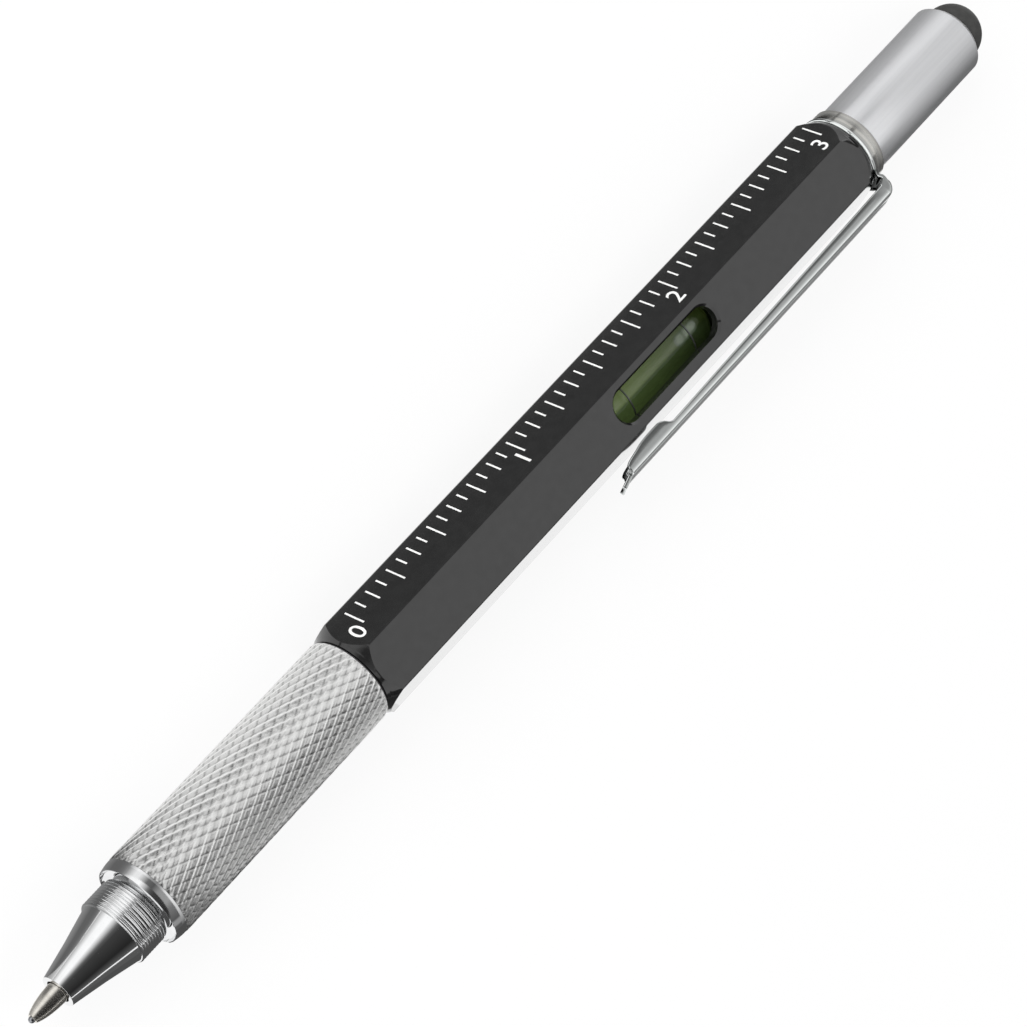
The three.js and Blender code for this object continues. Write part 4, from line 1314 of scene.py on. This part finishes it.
def card(name, rows, strengths):
    """A card that only reflections show: rows of two corners, each row with its own strength."""
    mesh = bpy.data.meshes.new(name)
    points = [corner for row in rows for corner in row]
    mesh.from_pydata(points, [], [(2 * i, 2 * i + 1, 2 * i + 3, 2 * i + 2) for i in range(len(rows) - 1)])
    carry(mesh, "glow", [strength for strength in strengths for corner in range(2)])
    mesh.materials.append(card_glow)
    thing = new_object(name, mesh)
    thing.visible_camera = False
    thing.visible_diffuse = False
    thing.visible_shadow = False
    thing.visible_transmission = False


def level_card(name, x, height, stops, lean=(0, 0)):
    """A level card over the (low, high) range in x. Each stop is (y, strength). Its ends lean with y."""
    rows = [[(end + tilt * y, y, height) for end, tilt in zip(x, lean)] for y, strength in stops]
    card(name, rows, [strength for y, strength in stops])


def hood(name, x, stops):
    """A curved card over the pen, with rows at each stop and between them."""
    rows = []
    strengths = []
    for (start, before), (end, after) in zip(stops, stops[1:]):
        steps = max(1, math.ceil(abs(end - start) / hood_step))
        for i in range(1 if rows else 0, steps + 1):
            angle = math.radians(mix(start, end, i / steps))
            y = hood_radius * math.sin(angle)
            z = axis_height + hood_radius * math.cos(angle)
            rows.append(((x[0], y, z), (x[1], y, z)))
            strengths.append(mix(before, after, i / steps))
    card(name, rows, strengths)


def lamp(name, location, width, height, watts):
    data = bpy.data.lights.new(name, "AREA")
    data.shape = "RECTANGLE"
    data.size = width
    data.size_y = height
    data.energy = watts
    thing = new_object(name, data)
    thing.location = location
    thing.rotation_mode = "QUATERNION"
    thing.rotation_quaternion = (-Vector(location)).to_track_quat("-Z", "Y")
    thing.visible_glossy = False


def ray_share(tree, camera, glossy, transmission):
    """A number that depends on the kind of ray."""
    path = add_node(tree, "ShaderNodeLightPath")
    highest = 0
    rays = (("Is Camera Ray", camera), ("Is Glossy Ray", glossy), ("Is Transmission Ray", transmission))
    for output, share in rays:
        scaled = add_node(tree, "ShaderNodeMath", path.outputs[output], share, operation="MULTIPLY")
        either = add_node(tree, "ShaderNodeMath", highest, scaled.outputs[0], operation="MAXIMUM")
        highest = either.outputs[0]
    return highest


def make_world():
    world = bpy.data.worlds.new("studio")
    bpy.context.scene.world = world
    tree = bare_tree(world)
    white = (*grey(1), 1)
    soft = add_node(tree, "ShaderNodeBackground", white, Strength=0.6)
    seen = add_node(tree, "ShaderNodeBackground", white, Strength=1.0)
    share = ray_share(tree, 1, 1, 1)
    mixed = add_node(tree, "ShaderNodeMixShader", share, soft.outputs[0], seen.outputs[0])
    add_node(tree, "ShaderNodeOutputWorld", mixed.outputs[0])


def make_floor():
    """A white floor: the camera sees it near white with the pen's soft shadow, and gloss sees it white."""
    corners = [(x * floor_half, y * floor_half, -floor_gap) for x, y in ((-1, -1), (1, -1), (1, 1), (-1, 1))]
    mesh = bpy.data.meshes.new("floor")
    mesh.from_pydata(corners, [], [(0, 1, 2, 3)])
    material = bpy.data.materials.new("floor_white")
    tree = bare_tree(material)
    matt = add_node(tree, "ShaderNodeBsdfDiffuse", ramp(tree, grain(tree, 40), grey(0.88), grey(0.90)))
    white = add_node(tree, "ShaderNodeEmission", Strength=1.0)
    share = ray_share(tree, 0.86, 0.97, 0.97)
    mixed = add_node(tree, "ShaderNodeMixShader", share, matt.outputs[0], white.outputs[0])
    add_node(tree, "ShaderNodeOutputMaterial", mixed.outputs[0])
    mesh.materials.append(material)
    new_object("floor", mesh)


def make_stage():
    """Floor, lamps, and the cards and hoods that give the gloss its bands, piece by piece along the pen."""
    make_floor()
    for name, values in lamps.items():
        lamp(name, *values)
    for name, values in upper_cards.items():
        level_card(name, *values)
    for name, (start, end, top, strength) in upright_cards.items():
        card(name, [((*start, z), (*end, z)) for z in (0, top)], [strength, strength])
    for name, values in hoods.items():
        hood(f"hood_over_{name}", *values)
    for name, values in floor_cards.items():
        level_card(name, *values)


make_camera()
make_barrel()
make_ruler()
make_metric_ruler()
make_grip()
make_clip()
make_nose()
make_refill()
make_mechanism()
make_level()
make_tail()
make_world()
make_stage()

bpy.context.scene.view_settings.view_transform = "Standard"
